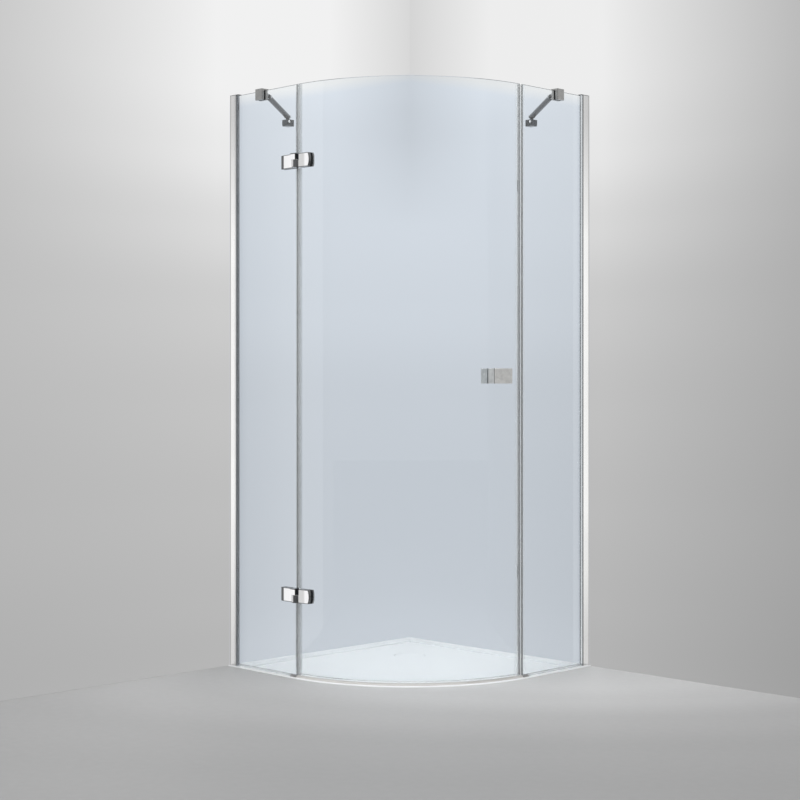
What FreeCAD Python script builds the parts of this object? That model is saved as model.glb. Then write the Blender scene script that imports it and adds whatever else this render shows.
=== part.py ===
import FreeCAD, Part
import math
import os
import re
import Sketcher

# A quadrant shower enclosure: a quarter-round tray in the corner of two walls, a fixed glass panel along
# each wall's side, and a curved glass door between them, hinged to the left panel.
# X runs right along the back wall, Y runs towards the back wall and Z up. The origin is the middle of the
# tray's underside. The left wall is the plane at -tray_size/2 in X, the back wall at +tray_size/2 in Y.
# The enclosure is symmetric about the plane through the walls' corner, apart from its hinges and strips.

doc = FreeCAD.newDocument("quadrant_enclosure")
sheet = doc.addObject("Spreadsheet::Sheet", "sizes")
vector = FreeCAD.Vector
up = vector(0, 0, 1)
# lengths closer than this are taken as equal
tolerance = 0.001

driving_sizes = [
    # tray
    ("tray_size", 900, "length of each straight side"),
    ("tray_radius", 550, "radius of the round front"),
    ("tray_height", 30, "height of the rim above the floor under the tray"),
    ("tray_rim", 60, "width of the flat rim"),
    ("tray_recess", 6, "depth of the standing area below the rim"),
    ("tray_round", 2, "rounding of the tray's edges"),
    # drain
    ("drain_offset", 170, "distance of the drain from the middle, in X and in Y"),
    ("drain_sleeve_diameter", 90, "outside of the drain's sleeve"),
    ("drain_sleeve_wall", 2.5, "wall of the sleeve"),
    ("drain_flange_diameter", 112, "flange and cover"),
    ("drain_flange_thick", 2, "thickness of the flange"),
    ("drain_outlet_diameter", 50, "bore of the outlet"),
    ("drain_outlet_depth", 9, "length of the outlet's bore"),
    ("drain_funnel_depth", 4, "height of the cone above the outlet"),
    ("drain_seal_thick", 1.5, "seal under the flange"),
    ("drain_cover_thick", 4, "thickness of the cover"),
    ("drain_cover_round", 1, "rounding of the cover's edge"),
    ("drain_cover_gap", 0.2, "gap under the cover's feet"),
    ("drain_leg_height", 2, "height of the cover's feet"),
    ("drain_leg_diameter", 8, "diameter of the cover's feet"),
    ("drain_leg_circle", 101, "diameter of the circle of the cover's feet"),
    ("drain_leg_count", 3, "feet of the cover"),
    ("drain_gap", 2, "gap around sleeve, flange and cover"),
    # glass
    ("line_inset", 20, "middle of the glass behind the tray's edge"),
    ("glass_thick", 8, "thickness of the glass"),
    ("glass_rise", 1994, "top of the glass above the tray"),
    ("glass_bevel", 0.7, "bevel of the glass's edges"),
    ("fixed_lift", 6, "bottom of the fixed glass above the tray"),
    ("door_lift", 12, "bottom of the door glass above the tray"),
    ("fixed_end", 3, "end of the fixed glass before the start of the round front"),
    ("door_start", 7, "hinge-side edge of the door glass after the start of the round front"),
    ("door_end", 20, "closing edge of the door glass before the end of the round front"),
    # wall profile and glazing profile
    ("profile_width", 22, "width of the wall profile"),
    ("profile_depth", 32, "reach of the wall profile from the wall"),
    ("profile_wall", 1.6, "wall of both profiles"),
    ("profile_lead", 1, "top of both profiles above the glass"),
    ("profile_play", 0.3, "gap between the two profiles"),
    ("glazing_start", 12, "back of the glazing profile from the wall"),
    ("glazing_reach", 43, "front of the glazing profile from the wall"),
    ("inner_leg_back", 13, "end of the profiles' inner legs behind that front"),
    ("glass_inlet", 24.5, "wall-side edge of the glass from the wall"),
    ("gasket_web", 2.5, "thickness of the glazing gasket behind the glass"),
    ("cap_thick", 2, "thickness of the profile cap"),
    ("cap_round", 3.6, "rounding of the cap's front corners"),
    ("wall_hole_diameter", 5.5, "hole for a wall screw"),
    ("wall_hole_margin", 97.5, "first and last wall screw from the profile's ends"),
    ("wall_hole_count", 4, "wall screws in each profile"),
    ("lock_screw_diameter", 3.9, "screw that locks the glazing profile"),
    ("lock_head_diameter", 7.5, "head of that screw"),
    ("lock_head_height", 2.4, "height of that head"),
    ("lock_screw_tip", 2, "length of that screw past the profiles"),
    ("lock_screw_place", 16.5, "that screw from the wall"),
    ("lock_screw_margin", 147.5, "first and last such screw from the profile's ends"),
    ("lock_screw_count", 3, "such screws in each profile"),
    ("lock_screw_slack", 0.2, "radial gap of that screw in the wall profile"),
    ("screw_play", 0.05, "radial gap around a screw"),
    # seals
    ("clip_wall", 1, "wall of the clip-on seals"),
    ("clip_reach", 11, "grip of the closing side's seals over the glass"),
    ("fixed_clip_reach", 5, "grip of the hinge side's seal over the fixed glass"),
    ("hinge_clip_reach", 11.5, "grip of the hinge side's seal over the door glass"),
    ("clip_web", 1.5, "web of a clip beyond the glass edge"),
    ("strip_foot", 8, "lower end of the upright strips above the tray"),
    ("bulb_length", 6.5, "hollow bulb of the hinge-side seal"),
    ("fixed_magnet_length", 11, "magnet chamber on the fixed panel"),
    ("door_magnet_length", 8.2, "magnet chamber on the door"),
    ("magnet_play", 0.1, "gap around a magnet bar"),
    ("bottom_seal_lip", 1.5, "height of the side lips of the fixed bottom seal"),
    ("drip_clip_height", 3.5, "grip of the door's bottom seal over the glass"),
    ("drip_lip_thick", 2, "thickness of the drip lip"),
    ("seal_gap", 0.5, "gap between moving and fixed seals"),
    # threshold
    ("threshold_width", 18, "width of the threshold"),
    ("threshold_height", 6, "height of the threshold"),
    ("threshold_bevel", 3.5, "bevel of the threshold's top edges"),
    ("threshold_cap_length", 28, "length of the threshold's end caps"),
    ("threshold_cap_width", 24, "width of those caps"),
    # hinges
    ("upper_hinge_drop", 259, "middle of the upper hinge below the top of the glass"),
    ("lower_hinge_height", 275, "middle of the lower hinge above the tray"),
    ("pivot_out", 16, "hinge axis in front of the middle of the glass"),
    ("pivot_along", 2, "hinge axis after the start of the round front"),
    ("hinge_height", 46.5, "height of the hinge"),
    ("leaf_thick", 11, "thickness of the outer leaves"),
    ("fixed_leaf_near", 14, "near end of the fixed leaf from the axis"),
    ("fixed_leaf_far", 74, "far end of the fixed leaf from the axis"),
    ("leaf_bevel_length", 16, "bevel at the far end of the fixed leaf"),
    ("leaf_bevel_depth", 3, "depth of that bevel"),
    ("door_leaf_near", 16.3, "near end of the door leaf from the axis"),
    ("door_leaf_far", 67, "far end of the door leaf from the axis"),
    ("leaf_arch_radius", 58, "arched far end of the door leaf"),
    ("leaf_arch_bevel", 4.5, "slope of that arched end"),
    ("block_half", 9, "half width of the square knuckle block"),
    ("block_height", 20, "height of the block within the leaf"),
    ("block_proud", 1.5, "how far the block stands above the leaf"),
    ("block_back", 0.5, "gap between the block and the plane of the leaves' back"),
    ("barrel_diameter", 22, "round barrel of the door leaf"),
    ("barrel_floor", 3, "closed bottom of the barrel"),
    ("knuckle_gap", 1, "gap between block and barrel"),
    ("pin_diameter", 10, "hinge pin"),
    ("pin_top", 3, "end of the pin below the block's top"),
    ("pin_play", 0.05, "radial gap between pin and bush"),
    ("pin_seat", 0.02, "radial gap of pin in block and of bush in barrel"),
    ("bush_wall", 2, "wall of the bush"),
    ("bush_flange", 0.8, "flange of the bush"),
    ("plate_thick", 6, "thickness of the inner clamp plates"),
    ("pad_thick", 1, "thickness of gaskets against the glass"),
    ("clamp_screw_diameter", 6, "hinge clamp screw"),
    ("clamp_head_diameter", 11, "countersunk head of that screw"),
    ("clamp_head_depth", 3, "depth of that head"),
    ("clamp_screw_end", 3.5, "end of the screw behind the leaf's outer face"),
    ("clamp_socket", 4, "hexagon socket across corners"),
    ("clamp_socket_depth", 2.5, "depth of the socket"),
    ("glass_hole_diameter", 14, "holes in the glass"),
    ("collar_gap", 0.2, "gap between a collar and the glass hole"),
    ("collar_bore_gap", 0.4, "gap between a collar and its screw"),
    ("fixed_screw_near", 30, "first screw of the fixed leaf from the axis"),
    ("fixed_screw_far", 56, "second screw of the fixed leaf from the axis"),
    ("door_screw_near", 30, "first screw of the door leaf from the axis"),
    ("door_screw_far", 52, "second screw of the door leaf from the axis"),
    ("notch_reach", 14, "hinge notch in the door glass past the axis"),
    ("notch_margin", 2, "hinge notch above and below the hinge"),
    # handle
    ("handle_turn", 32.9, "handle from the middle of the round front, in degrees"),
    ("handle_rise", 1012, "middle of the handle above the tray"),
    ("handle_width", 71, "width of the handle"),
    ("handle_tall", 50, "height of the handle"),
    ("handle_depth", 38, "depth of the handle in front of its gasket"),
    ("handle_wall", 5, "wall of the handle"),
    ("handle_seat", 6, "wall of the handle at the glass"),
    ("handle_round", 3, "rounding of the handle's upright edges"),
    ("handle_screw_diameter", 5, "handle screw"),
    ("handle_head_diameter", 9, "head of the handle screw"),
    ("handle_head_height", 3, "height of that head"),
    ("handle_screw_half", 18, "handle screw from the handle's middle"),
    ("handle_screw_end", 1, "end of the screw before the finger gap"),
    ("handle_pad_margin", 0.4, "gasket shorter than the handle at each side"),
    # braces
    ("clamp_along", 160, "middle of the brace clamp from the wall"),
    ("clamp_length", 36, "length of the brace clamp"),
    ("clamp_width", 32.5, "width of the brace clamp"),
    ("clamp_height", 38, "height of the brace clamp"),
    ("clamp_above", 6.5, "top of the clamp above the glass"),
    ("clamp_round", 3, "rounding of the clamp's upright edges"),
    ("clamp_pad", 1.5, "pads between clamp and glass"),
    ("clamp_pad_margin", 2, "pads shorter than the clamp at each end"),
    ("lug_reach", 15, "pivot from the clamp's or bracket's face"),
    ("lug_half", 4, "half thickness of a lug"),
    ("lug_radius", 8, "radius of a lug"),
    ("clamp_pivot_along", 162, "brace pivot at the clamp, from the wall"),
    ("clamp_pivot_drop", 16, "that pivot below the top of the glass"),
    ("bar_diameter", 19, "brace bar"),
    ("bar_slot_play", 0.2, "gap on each side of a lug in the bar"),
    ("bar_slot_length", 12, "slot in the bar past the pivot"),
    ("bracket_back", 241, "wall pivot behind the middle of the glass"),
    ("bracket_lug_offset", 7, "pivot in front of the middle of the wall bracket"),
    ("bracket_pivot_out", 20, "wall pivot from the wall"),
    ("bracket_drop", 44.5, "wall pivot below the top of the glass"),
    ("bracket_width", 31, "width of the wall bracket"),
    ("bracket_height", 16, "height of the wall bracket"),
    ("bracket_reach", 31, "wall bracket's reach from the wall"),
    ("bracket_gap", 1, "gap between the wall bracket and the end of the bar"),
    ("brace_pin_diameter", 6, "pivot pin of the brace"),
    ("brace_pin_head", 10, "head of that pin"),
    ("brace_pin_head_thick", 2, "thickness of that head"),
    ("grub_diameter", 6, "grub screw of the clamp"),
    ("grub_length", 8, "length of that screw"),
]

for row, (alias, number, meaning) in enumerate(driving_sizes, start=1):
    sheet.set("A%d" % row, meaning)
    sheet.set("B%d" % row, str(number))
    sheet.setAlias("B%d" % row, alias)
doc.recompute()

aliases = {alias for alias, number, meaning in driving_sizes}

# Lengths and places that follow from the driving sizes
derived = {
    "half_tray": "tray_size/2",
    "arc_middle": "tray_size/2 - tray_radius",
    "straight_arc": "glass_radius*pi/2",
    "straight": "tray_size - tray_radius",
    "line_place": "tray_size/2 - line_inset",
    "glass_radius": "tray_radius - line_inset",
    "glass_half": "glass_thick/2",
    "glass_outer": "glass_radius + glass_half",
    "glass_inner": "glass_radius - glass_half",
    "glass_top": "tray_height + glass_rise",
    "profile_rise": "glass_rise + profile_lead",
    "upper_hinge_height": "glass_rise - upper_hinge_drop",
    "wall_hole_step": "(profile_rise - 2*wall_hole_margin)/(wall_hole_count - 1)",
    "lock_screw_step": "(profile_rise - 2*lock_screw_margin)/(lock_screw_count - 1)",
    "inner_leg_reach": "glazing_reach - inner_leg_back",
    "fixed_bottom": "tray_height + fixed_lift",
    "door_bottom": "tray_height + door_lift",
    "fixed_edge": "straight - fixed_end",
    "glazing_half": "profile_width/2 - profile_wall - profile_play",
    "gasket_half": "glazing_half - profile_wall",
    "strip_bottom": "tray_height + strip_foot",
    "strip_height": "glass_top - strip_bottom",
    "clip_half": "glass_half + clip_wall",
    "tray_floor": "tray_height - tray_recess",
    "rebate_floor": "flange_bottom - drain_seal_thick",
    "flange_bottom": "flange_top - drain_flange_thick",
    "flange_top": "tray_floor - drain_cover_thick - drain_leg_height - drain_cover_gap",
    "sleeve_radius": "drain_sleeve_diameter/2",
    "flange_radius": "drain_flange_diameter/2",
    "outlet_radius": "drain_outlet_diameter/2",
    "leaf_back": "glass_radius + glass_half + pad_thick",
    "leaf_front": "leaf_back + leaf_thick",
    "plate_front": "glass_inner - pad_thick",
    "plate_back": "plate_front - plate_thick",
    "pivot_radius": "glass_radius + pivot_out",
    "back_of_leaf": "pivot_out - glass_half - pad_thick",
    "front_of_leaf": "back_of_leaf - leaf_thick",
    "front_of_plate": "pivot_out + glass_half + pad_thick",
    "back_of_plate": "front_of_plate + plate_thick",
    "half_hinge": "hinge_height/2",
    "block_bottom": "half_hinge - block_height",
    "block_top": "half_hinge + block_proud",
    "barrel_top": "block_bottom - knuckle_gap",
    "barrel_radius": "barrel_diameter/2",
    "pin_radius": "pin_diameter/2",
    "bush_bore": "pin_radius + pin_play",
    "bush_radius": "bush_bore + bush_wall",
    "clamp_screw_radius": "clamp_screw_diameter/2",
    "clamp_head_radius": "clamp_head_diameter/2",
    "hole_radius": "glass_hole_diameter/2",
    "collar_radius": "hole_radius - collar_gap",
    "slot_half": "glass_half + clamp_pad",
    "clamp_top": "glass_top + clamp_above",
    "bar_radius": "bar_diameter/2",
    "bracket_top": "glass_top - bracket_drop - bar_radius - bracket_gap",
    "bracket_middle": "bracket_back + bracket_lug_offset",
    "brace_across": "bracket_back - clamp_width/2 - lug_reach",
    "brace_along": "clamp_pivot_along - bracket_pivot_out",
    "brace_run": "sqrt(brace_across^2 + brace_along^2)",
    "brace_length": "sqrt(brace_run^2 + (bracket_drop - clamp_pivot_drop)^2)",
    "brace_pin_radius": "brace_pin_diameter/2",
    "handle_screw_radius": "handle_screw_diameter/2",
    "handle_arc": "(45 + handle_turn)*pi/180*glass_radius",
    "lock_screw_radius": "lock_screw_diameter/2",
}


def formula(text):
    # a worked-out name stands for its own formula, and a driving size is read from the sheet
    def swap(match):
        word = match.group(0)
        if word in derived:
            return "(" + formula(derived[word]) + ")"
        if word in aliases:
            return "sizes." + word
        return word
    return re.sub(r"[a-z][a-z_]*", swap, str(text))


def value(text):
    return float(sheet.evalExpression(formula(text)))


def angle_of(text):
    # the angle, in degrees, of a length along the round glass
    return "(%s)/glass_radius*180/pi" % text


def bind(item, **sizes):
    for name, text in sizes.items():
        item.setExpression(name, formula(text))


def place(item, x="0", y="0", z="0"):
    for axis, text in zip("xyz", (x, y, z)):
        item.setExpression("Placement.Base." + axis, formula(text))
    return item


# Frames: the panel frame starts at the left wall on the middle of the left fixed glass, with X away from
# the wall and Y to the inside. The arc frame starts at the centre of the round front. The hinge frame
# starts on the hinge axis.
def in_panel(item, z="0"):
    return place(item, "-half_tray", "-line_place", z)


def in_arc(item, z="0"):
    return place(item, "arc_middle", "-arc_middle", z)


def in_hinge(item, z):
    return place(item, "arc_middle + pivot_along", "-line_place - pivot_out", z)


nodes = {}


def node(item, label):
    item.Label = label
    nodes[label] = item
    return item


# Primitives and booleans
def box(name, length, width, height, x="0", y="0", z="0"):
    item = doc.addObject("Part::Box", name)
    bind(item, Length=length, Width=width, Height=height)
    return place(item, x, y, z)


def cylinder(name, radius, height, x="0", y="0", z="0", axis=up):
    item = doc.addObject("Part::Cylinder", name)
    item.Placement = FreeCAD.Placement(vector(), FreeCAD.Rotation(up, axis))
    bind(item, Radius=radius, Height=height)
    return place(item, x, y, z)


def cone(name, start_radius, end_radius, height, x="0", y="0", z="0"):
    item = doc.addObject("Part::Cone", name)
    bind(item, Radius1=start_radius, Radius2=end_radius, Height=height)
    return place(item, x, y, z)


def combine(kind, name, shapes):
    item = doc.addObject(kind, name)
    if kind == "Part::Compound":
        item.Links = shapes
    else:
        item.Shapes = shapes
    return item


def fuse(name, shapes):
    return combine("Part::MultiFuse", name, shapes)


def common(name, shapes):
    return combine("Part::MultiCommon", name, shapes)


def group(name, shapes):
    return combine("Part::Compound", name, shapes)


def cut(name, base, tool):
    item = doc.addObject("Part::Cut", name)
    item.Base = base
    item.Tool = tool
    return item


def reflected(source, name):
    # the other side of the enclosure, across the plane through the walls' corner
    item = doc.addObject("Part::Mirroring", name)
    item.Source = source
    item.Normal = vector(1, 1, 0)
    return item


def mirrored(source, label):
    return node(reflected(source, label), label)


def sector(name, outer, inner, height, start, length, z="0"):
    # part of a ring about the arc centre: start and length run along the round glass from its left end
    rims = []
    for suffix, radius in (("_rim", outer), ("_core", inner)):
        rim = cylinder(name + suffix, radius, height, z=z)
        bind(rim, Angle=angle_of(length))
        rim.Placement = FreeCAD.Placement(vector(), FreeCAD.Rotation(up, value(angle_of(start)) - 90))
        rims.append(place(rim, z=z))
    return cut(name, rims[0], rims[1])


def framed(item, origin, direction):
    # the item's own Z axis is laid along the direction
    for axis in "xyz":
        item.setExpression("Placement.Base." + axis, None)
    item.Placement = FreeCAD.Placement(origin, FreeCAD.Rotation(up, direction))
    return item


# Sketched bodies
def body(label):
    return doc.addObject("PartDesign::Body", label)


def sketch(owner, name, role="XY_Plane", offset="0"):
    item = owner.newObject("Sketcher::SketchObject", name)
    plane = [feature for feature in owner.Origin.OriginFeatures if feature.Role == role][0]
    item.AttachmentSupport = [(plane, "")]
    item.MapMode = "FlatFace"
    item.setExpression("AttachmentOffset.Base.z", formula(offset))
    return item


def pin_point(item, edge, point, x, y):
    for kind, text in (("DistanceX", x), ("DistanceY", y)):
        index = item.addConstraint(Sketcher.Constraint(kind, -1, 1, edge, point, value(text)))
        item.setExpression("Constraints[%d]" % index, formula(text))


def polygon(item, corners):
    first = item.GeometryCount
    count = len(corners)
    points = [vector(value(x), value(y), 0) for x, y in corners]
    for index, point in enumerate(points):
        item.addGeometry(Part.LineSegment(point, points[(index + 1) % count]), False)
    for index, (x, y) in enumerate(corners):
        following = first + (index + 1) % count
        item.addConstraint(Sketcher.Constraint("Coincident", first + index, 2, following, 1))
        pin_point(item, first + index, 1, x, y)
    return item


def circle(item, x, y, radius):
    edge = item.addGeometry(Part.Circle(vector(value(x), value(y), 0), up, value(radius)), False)
    index = item.addConstraint(Sketcher.Constraint("Radius", edge, value(radius)))
    item.setExpression("Constraints[%d]" % index, formula(radius))
    pin_point(item, edge, 3, x, y)
    return item


def pad(owner, name, profile, length):
    item = owner.newObject("PartDesign::Pad", name)
    item.Profile = profile
    bind(item, Length=length)
    return item


def pocket(owner, name, profile, depth=None, flipped=False, both=False):
    item = owner.newObject("PartDesign::Pocket", name)
    item.Profile = profile
    item.Reversed = flipped
    item.Midplane = both
    if depth is None:
        item.Type = "ThroughAll"
    else:
        bind(item, Length=depth)
    return item


def turned(owner, name, corners, angle="360"):
    # a section in the XZ plane, turned about the Z axis
    profile = polygon(sketch(owner, name + "_section", "XZ_Plane"), corners)
    item = owner.newObject("PartDesign::Revolution", name)
    item.Profile = profile
    item.ReferenceAxis = (profile, ["V_Axis"])
    bind(item, Angle=angle)
    return item


def upright_row(owner, name, feature, profile, step, count):
    item = owner.newObject("PartDesign::LinearPattern", name)
    item.Originals = [feature]
    item.Direction = (profile, ["V_Axis"])
    item.Occurrences = round(value(count))
    bind(item, Length="%s*(%s - 1)" % (step, count))
    owner.Tip = item
    return item


def edge_names(item, test):
    doc.recompute()
    return ["Edge%d" % index for index, edge in enumerate(item.Shape.Edges, start=1) if test(edge)]


def dress(owner, kind, name, base, test, size):
    item = owner.newObject("PartDesign::" + kind, name)
    item.Base = (base, edge_names(base, test))
    bind(item, **{"Radius" if kind == "Fillet" else "Size": size})
    return item


def is_upright(edge):
    bounds = edge.BoundBox
    return bounds.ZLength > tolerance > bounds.XLength + bounds.YLength


def is_level_at(edge, height):
    bounds = edge.BoundBox
    return abs(bounds.ZMin - height) < tolerance and abs(bounds.ZMax - height) < tolerance


def channel(start, end, inner_end, half, wall):
    # a U section open towards +X, with an inner leg of its own length
    return [(start, "-" + half), (end, "-" + half), (end, "%s - %s" % (wall, half)),
            ("%s + %s" % (start, wall), "%s - %s" % (wall, half)),
            ("%s + %s" % (start, wall), "%s - %s" % (half, wall)),
            (inner_end, "%s - %s" % (half, wall)), (inner_end, half), (start, half)]


def rectangle(x_low, x_high, y_low, y_high):
    return [(x_low, y_low), (x_high, y_low), (x_high, y_high), (x_low, y_high)]


# Tray
def quarter_outline(item, inset):
    half = "half_tray - " + inset
    radius = "tray_radius - " + inset
    low = "-(%s)" % half
    reach = value(half)
    bend = value(radius)
    middle = reach - bend
    item.addGeometry(Part.LineSegment(vector(-reach, -reach, 0), vector(middle, -reach, 0)), False)
    round_front = Part.Circle(vector(middle, -middle, 0), up, bend)
    item.addGeometry(Part.ArcOfCircle(round_front, -math.pi/2, 0), False)
    item.addGeometry(Part.LineSegment(vector(reach, -middle, 0), vector(reach, reach, 0)), False)
    item.addGeometry(Part.LineSegment(vector(reach, reach, 0), vector(-reach, reach, 0)), False)
    item.addGeometry(Part.LineSegment(vector(-reach, reach, 0), vector(-reach, -reach, 0)), False)
    for first, second in ((2, 3), (3, 4), (4, 0)):
        item.addConstraint(Sketcher.Constraint("Coincident", first, 2, second, 1))
    item.addConstraint(Sketcher.Constraint("Tangent", 0, 2, 1, 1))
    item.addConstraint(Sketcher.Constraint("Tangent", 1, 2, 2, 1))
    for kind, edge in (("Horizontal", 0), ("Vertical", 2), ("Horizontal", 3), ("Vertical", 4)):
        item.addConstraint(Sketcher.Constraint(kind, edge))
    pin_point(item, 0, 1, low, low)
    pin_point(item, 3, 1, half, half)
    index = item.addConstraint(Sketcher.Constraint("Radius", 1, bend))
    item.setExpression("Constraints[%d]" % index, formula(radius))
    return item


def shower_tray():
    owner = node(body("shower_tray"), "shower_tray")
    slab = pad(owner, "slab", quarter_outline(sketch(owner, "slab_outline"), "0"), "tray_height")
    floor_outline = quarter_outline(sketch(owner, "floor_outline", offset="tray_floor"), "tray_rim")
    standing = pocket(owner, "standing_area", floor_outline, flipped=True)
    top = value("tray_height")
    dress(owner, "Fillet", "tray_edges", standing, lambda edge: is_level_at(edge, top), "tray_round")
    rebate = sketch(owner, "rebate_outline", offset="rebate_floor")
    circle(rebate, "-drain_offset", "drain_offset", "flange_radius + drain_gap")
    pocket(owner, "drain_rebate", rebate, flipped=True)
    hole = circle(sketch(owner, "hole_outline"), "-drain_offset", "drain_offset",
                  "sleeve_radius + drain_gap/2")
    pocket(owner, "drain_hole", hole, flipped=True)


# Drain: a flanged sleeve with a bored outlet, its seal, and the cover that lifts off
def drain():
    sleeve = node(body("drain_body"), "drain_body")
    inside = "sleeve_radius - drain_sleeve_wall"
    turned(sleeve, "sleeve", [
        ("outlet_radius", "0"), ("sleeve_radius", "0"), ("sleeve_radius", "flange_bottom"),
        ("flange_radius", "flange_bottom"), ("flange_radius", "flange_top"), (inside, "flange_top"),
        (inside, "drain_outlet_depth + drain_funnel_depth"), ("outlet_radius", "drain_outlet_depth")])
    place(sleeve, "-drain_offset", "drain_offset")
    seal = node(body("drain_seal"), "drain_seal")
    turned(seal, "ring", rectangle("sleeve_radius + drain_gap/2", "flange_radius", "rebate_floor",
                                   "flange_bottom"))
    place(seal, "-drain_offset", "drain_offset")
    cover = body("drain_cover")
    disc = circle(sketch(cover, "disc_outline"), "0", "0", "flange_radius")
    plate = pad(cover, "disc", disc, "drain_cover_thick")
    dress(cover, "Fillet", "disc_edge", plate,
          lambda edge: is_level_at(edge, value("drain_cover_thick")), "drain_cover_round")
    foot = circle(sketch(cover, "foot_outline"), "drain_leg_circle/2", "0", "drain_leg_diameter/2")
    feet = pad(cover, "foot", foot, "drain_leg_height")
    feet.Reversed = True
    ring = cover.newObject("PartDesign::PolarPattern", "feet")
    ring.Originals = [feet]
    ring.Axis = (foot, ["N_Axis"])
    ring.Angle = 360
    ring.Occurrences = round(value("drain_leg_count"))
    cover.Tip = ring
    place(node(cover, "drain_cover"), "-drain_offset", "drain_offset", "tray_floor - drain_cover_thick")


# Wall side: wall profile, glazing profile, cap, gasket and lock screws
def wall_side():
    wall = body("left_wall_profile")
    section = polygon(sketch(wall, "wall_section"), channel(
        "0", "profile_depth", "inner_leg_reach", "profile_width/2", "profile_wall"))
    pad(wall, "wall_length", section, "profile_rise")
    spot = circle(sketch(wall, "wall_hole_place", "YZ_Plane"), "0", "wall_hole_margin",
                  "wall_hole_diameter/2")
    hole = pocket(wall, "wall_hole", spot, flipped=True)
    upright_row(wall, "wall_holes", hole, spot, "wall_hole_step", "wall_hole_count")
    glazing = body("left_glazing_profile")
    section = polygon(sketch(glazing, "glazing_section"), channel(
        "glazing_start", "glazing_reach", "inner_leg_reach", "glazing_half", "profile_wall"))
    pad(glazing, "glazing_length", section, "profile_rise")
    for owner, play in ((wall, "lock_screw_slack"), (glazing, "screw_play")):
        spot = circle(sketch(owner, owner.Name + "_lock_place", "XZ_Plane"), "lock_screw_place",
                      "lock_screw_margin", "lock_screw_radius + " + play)
        hole = pocket(owner, owner.Name + "_lock_hole", spot)
        upright_row(owner, owner.Name + "_lock_holes", hole, spot, "lock_screw_step", "lock_screw_count")
    cap = body("left_profile_cap")
    plate = pad(cap, "cap_plate", polygon(sketch(cap, "cap_outline"), rectangle(
        "0", "glazing_reach", "-profile_width/2", "profile_width/2")), "cap_thick")
    dress(cap, "Fillet", "cap_corners", plate,
          lambda edge: is_upright(edge) and edge.BoundBox.XMin > tolerance, "cap_round")
    gasket = body("left_glazing_gasket")
    section = polygon(sketch(gasket, "gasket_section"), channel_of_gasket())
    pad(gasket, "gasket_length", section, "glass_top - fixed_bottom")
    for owner, z in ((wall, "tray_height"), (glazing, "tray_height"), (gasket, "fixed_bottom"),
                     (cap, "tray_height + profile_rise")):
        in_panel(node(owner, owner.Name), z)
        mirrored(owner, owner.Name.replace("left", "right"))


def channel_of_gasket():
    back = "glass_inlet - gasket_web"
    return [(back, "-gasket_half"), ("glazing_reach", "-gasket_half"), ("glazing_reach", "-glass_half"),
            ("glass_inlet", "-glass_half"), ("glass_inlet", "glass_half"), ("inner_leg_reach", "glass_half"),
            ("inner_leg_reach", "gasket_half"), (back, "gasket_half")]


def lock_screws():
    face = "profile_width/2"
    tip = "gasket_half - lock_screw_tip"
    screws = []
    for index in range(round(value("lock_screw_count"))):
        z = "tray_height + lock_screw_margin + %d*lock_screw_step" % index
        head = cylinder("lock_head_%d" % index, "lock_head_diameter/2", "lock_head_height",
                        "lock_screw_place", face, z, axis=vector(0, 1, 0))
        shank = cylinder("lock_shank_%d" % index, "lock_screw_radius", face + " - (%s)" % tip,
                         "lock_screw_place", tip, z, axis=vector(0, 1, 0))
        screws.append(fuse("lock_screw_%d" % index, [head, shank]))
    left = in_panel(group("left_lock_screws", screws))
    right = reflected(left, "right_lock_screws")
    node(group("profile_lock_screws", [left, right]), "profile_lock_screws")


# Fixed glass and its seals
def fixed_glass(name, screw_places=()):
    owner = body(name)
    outline = polygon(sketch(owner, name + "_outline"), rectangle("glass_inlet", "fixed_edge", "-glass_half",
                                                                  "glass_half"))
    sheet_of_glass = pad(owner, name + "_sheet", outline, "glass_top - fixed_bottom")
    ends = (0, value("glass_top - fixed_bottom"))
    far = value("fixed_edge")
    dress(owner, "Chamfer", name + "_edges", sheet_of_glass,
          lambda edge: is_level_at(edge, ends[0]) or is_level_at(edge, ends[1])
          or (is_upright(edge) and abs(edge.BoundBox.XMin - far) < tolerance), "glass_bevel")
    for index, (x, z) in enumerate(screw_places):
        spot = circle(sketch(owner, "%s_hole_place_%d" % (name, index), "XZ_Plane"), x,
                      z + " - fixed_lift", "hole_radius")
        pocket(owner, "%s_hole_%d" % (name, index), spot, both=True)
    return in_panel(owner, "fixed_bottom")


def fixed_panels():
    hinge_heights = ("upper_hinge_height", "lower_hinge_height")
    places = [("straight + pivot_along - " + screw, height)
              for height in hinge_heights for screw in ("fixed_screw_near", "fixed_screw_far")]
    node(fixed_glass("left_fixed_glass", places), "left_fixed_glass")
    mirrored(fixed_glass("plain_fixed_glass"), "right_fixed_glass")
    seal = body("left_bottom_seal")
    top = "fixed_lift + bottom_seal_lip"
    section = polygon(sketch(seal, "bottom_seal_section", "YZ_Plane"), [
        ("-clip_half", "0"), ("clip_half", "0"), ("clip_half", top), ("glass_half", top),
        ("glass_half", "fixed_lift"), ("-glass_half", "fixed_lift"), ("-glass_half", top),
        ("-clip_half", top)])
    pad(seal, "bottom_seal_length", section, "straight - threshold_cap_length - glazing_reach")
    place(node(seal, "left_bottom_seal"), "glazing_reach - half_tray", "-line_place", "tray_height")
    mirrored(seal, "right_bottom_seal")


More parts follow.
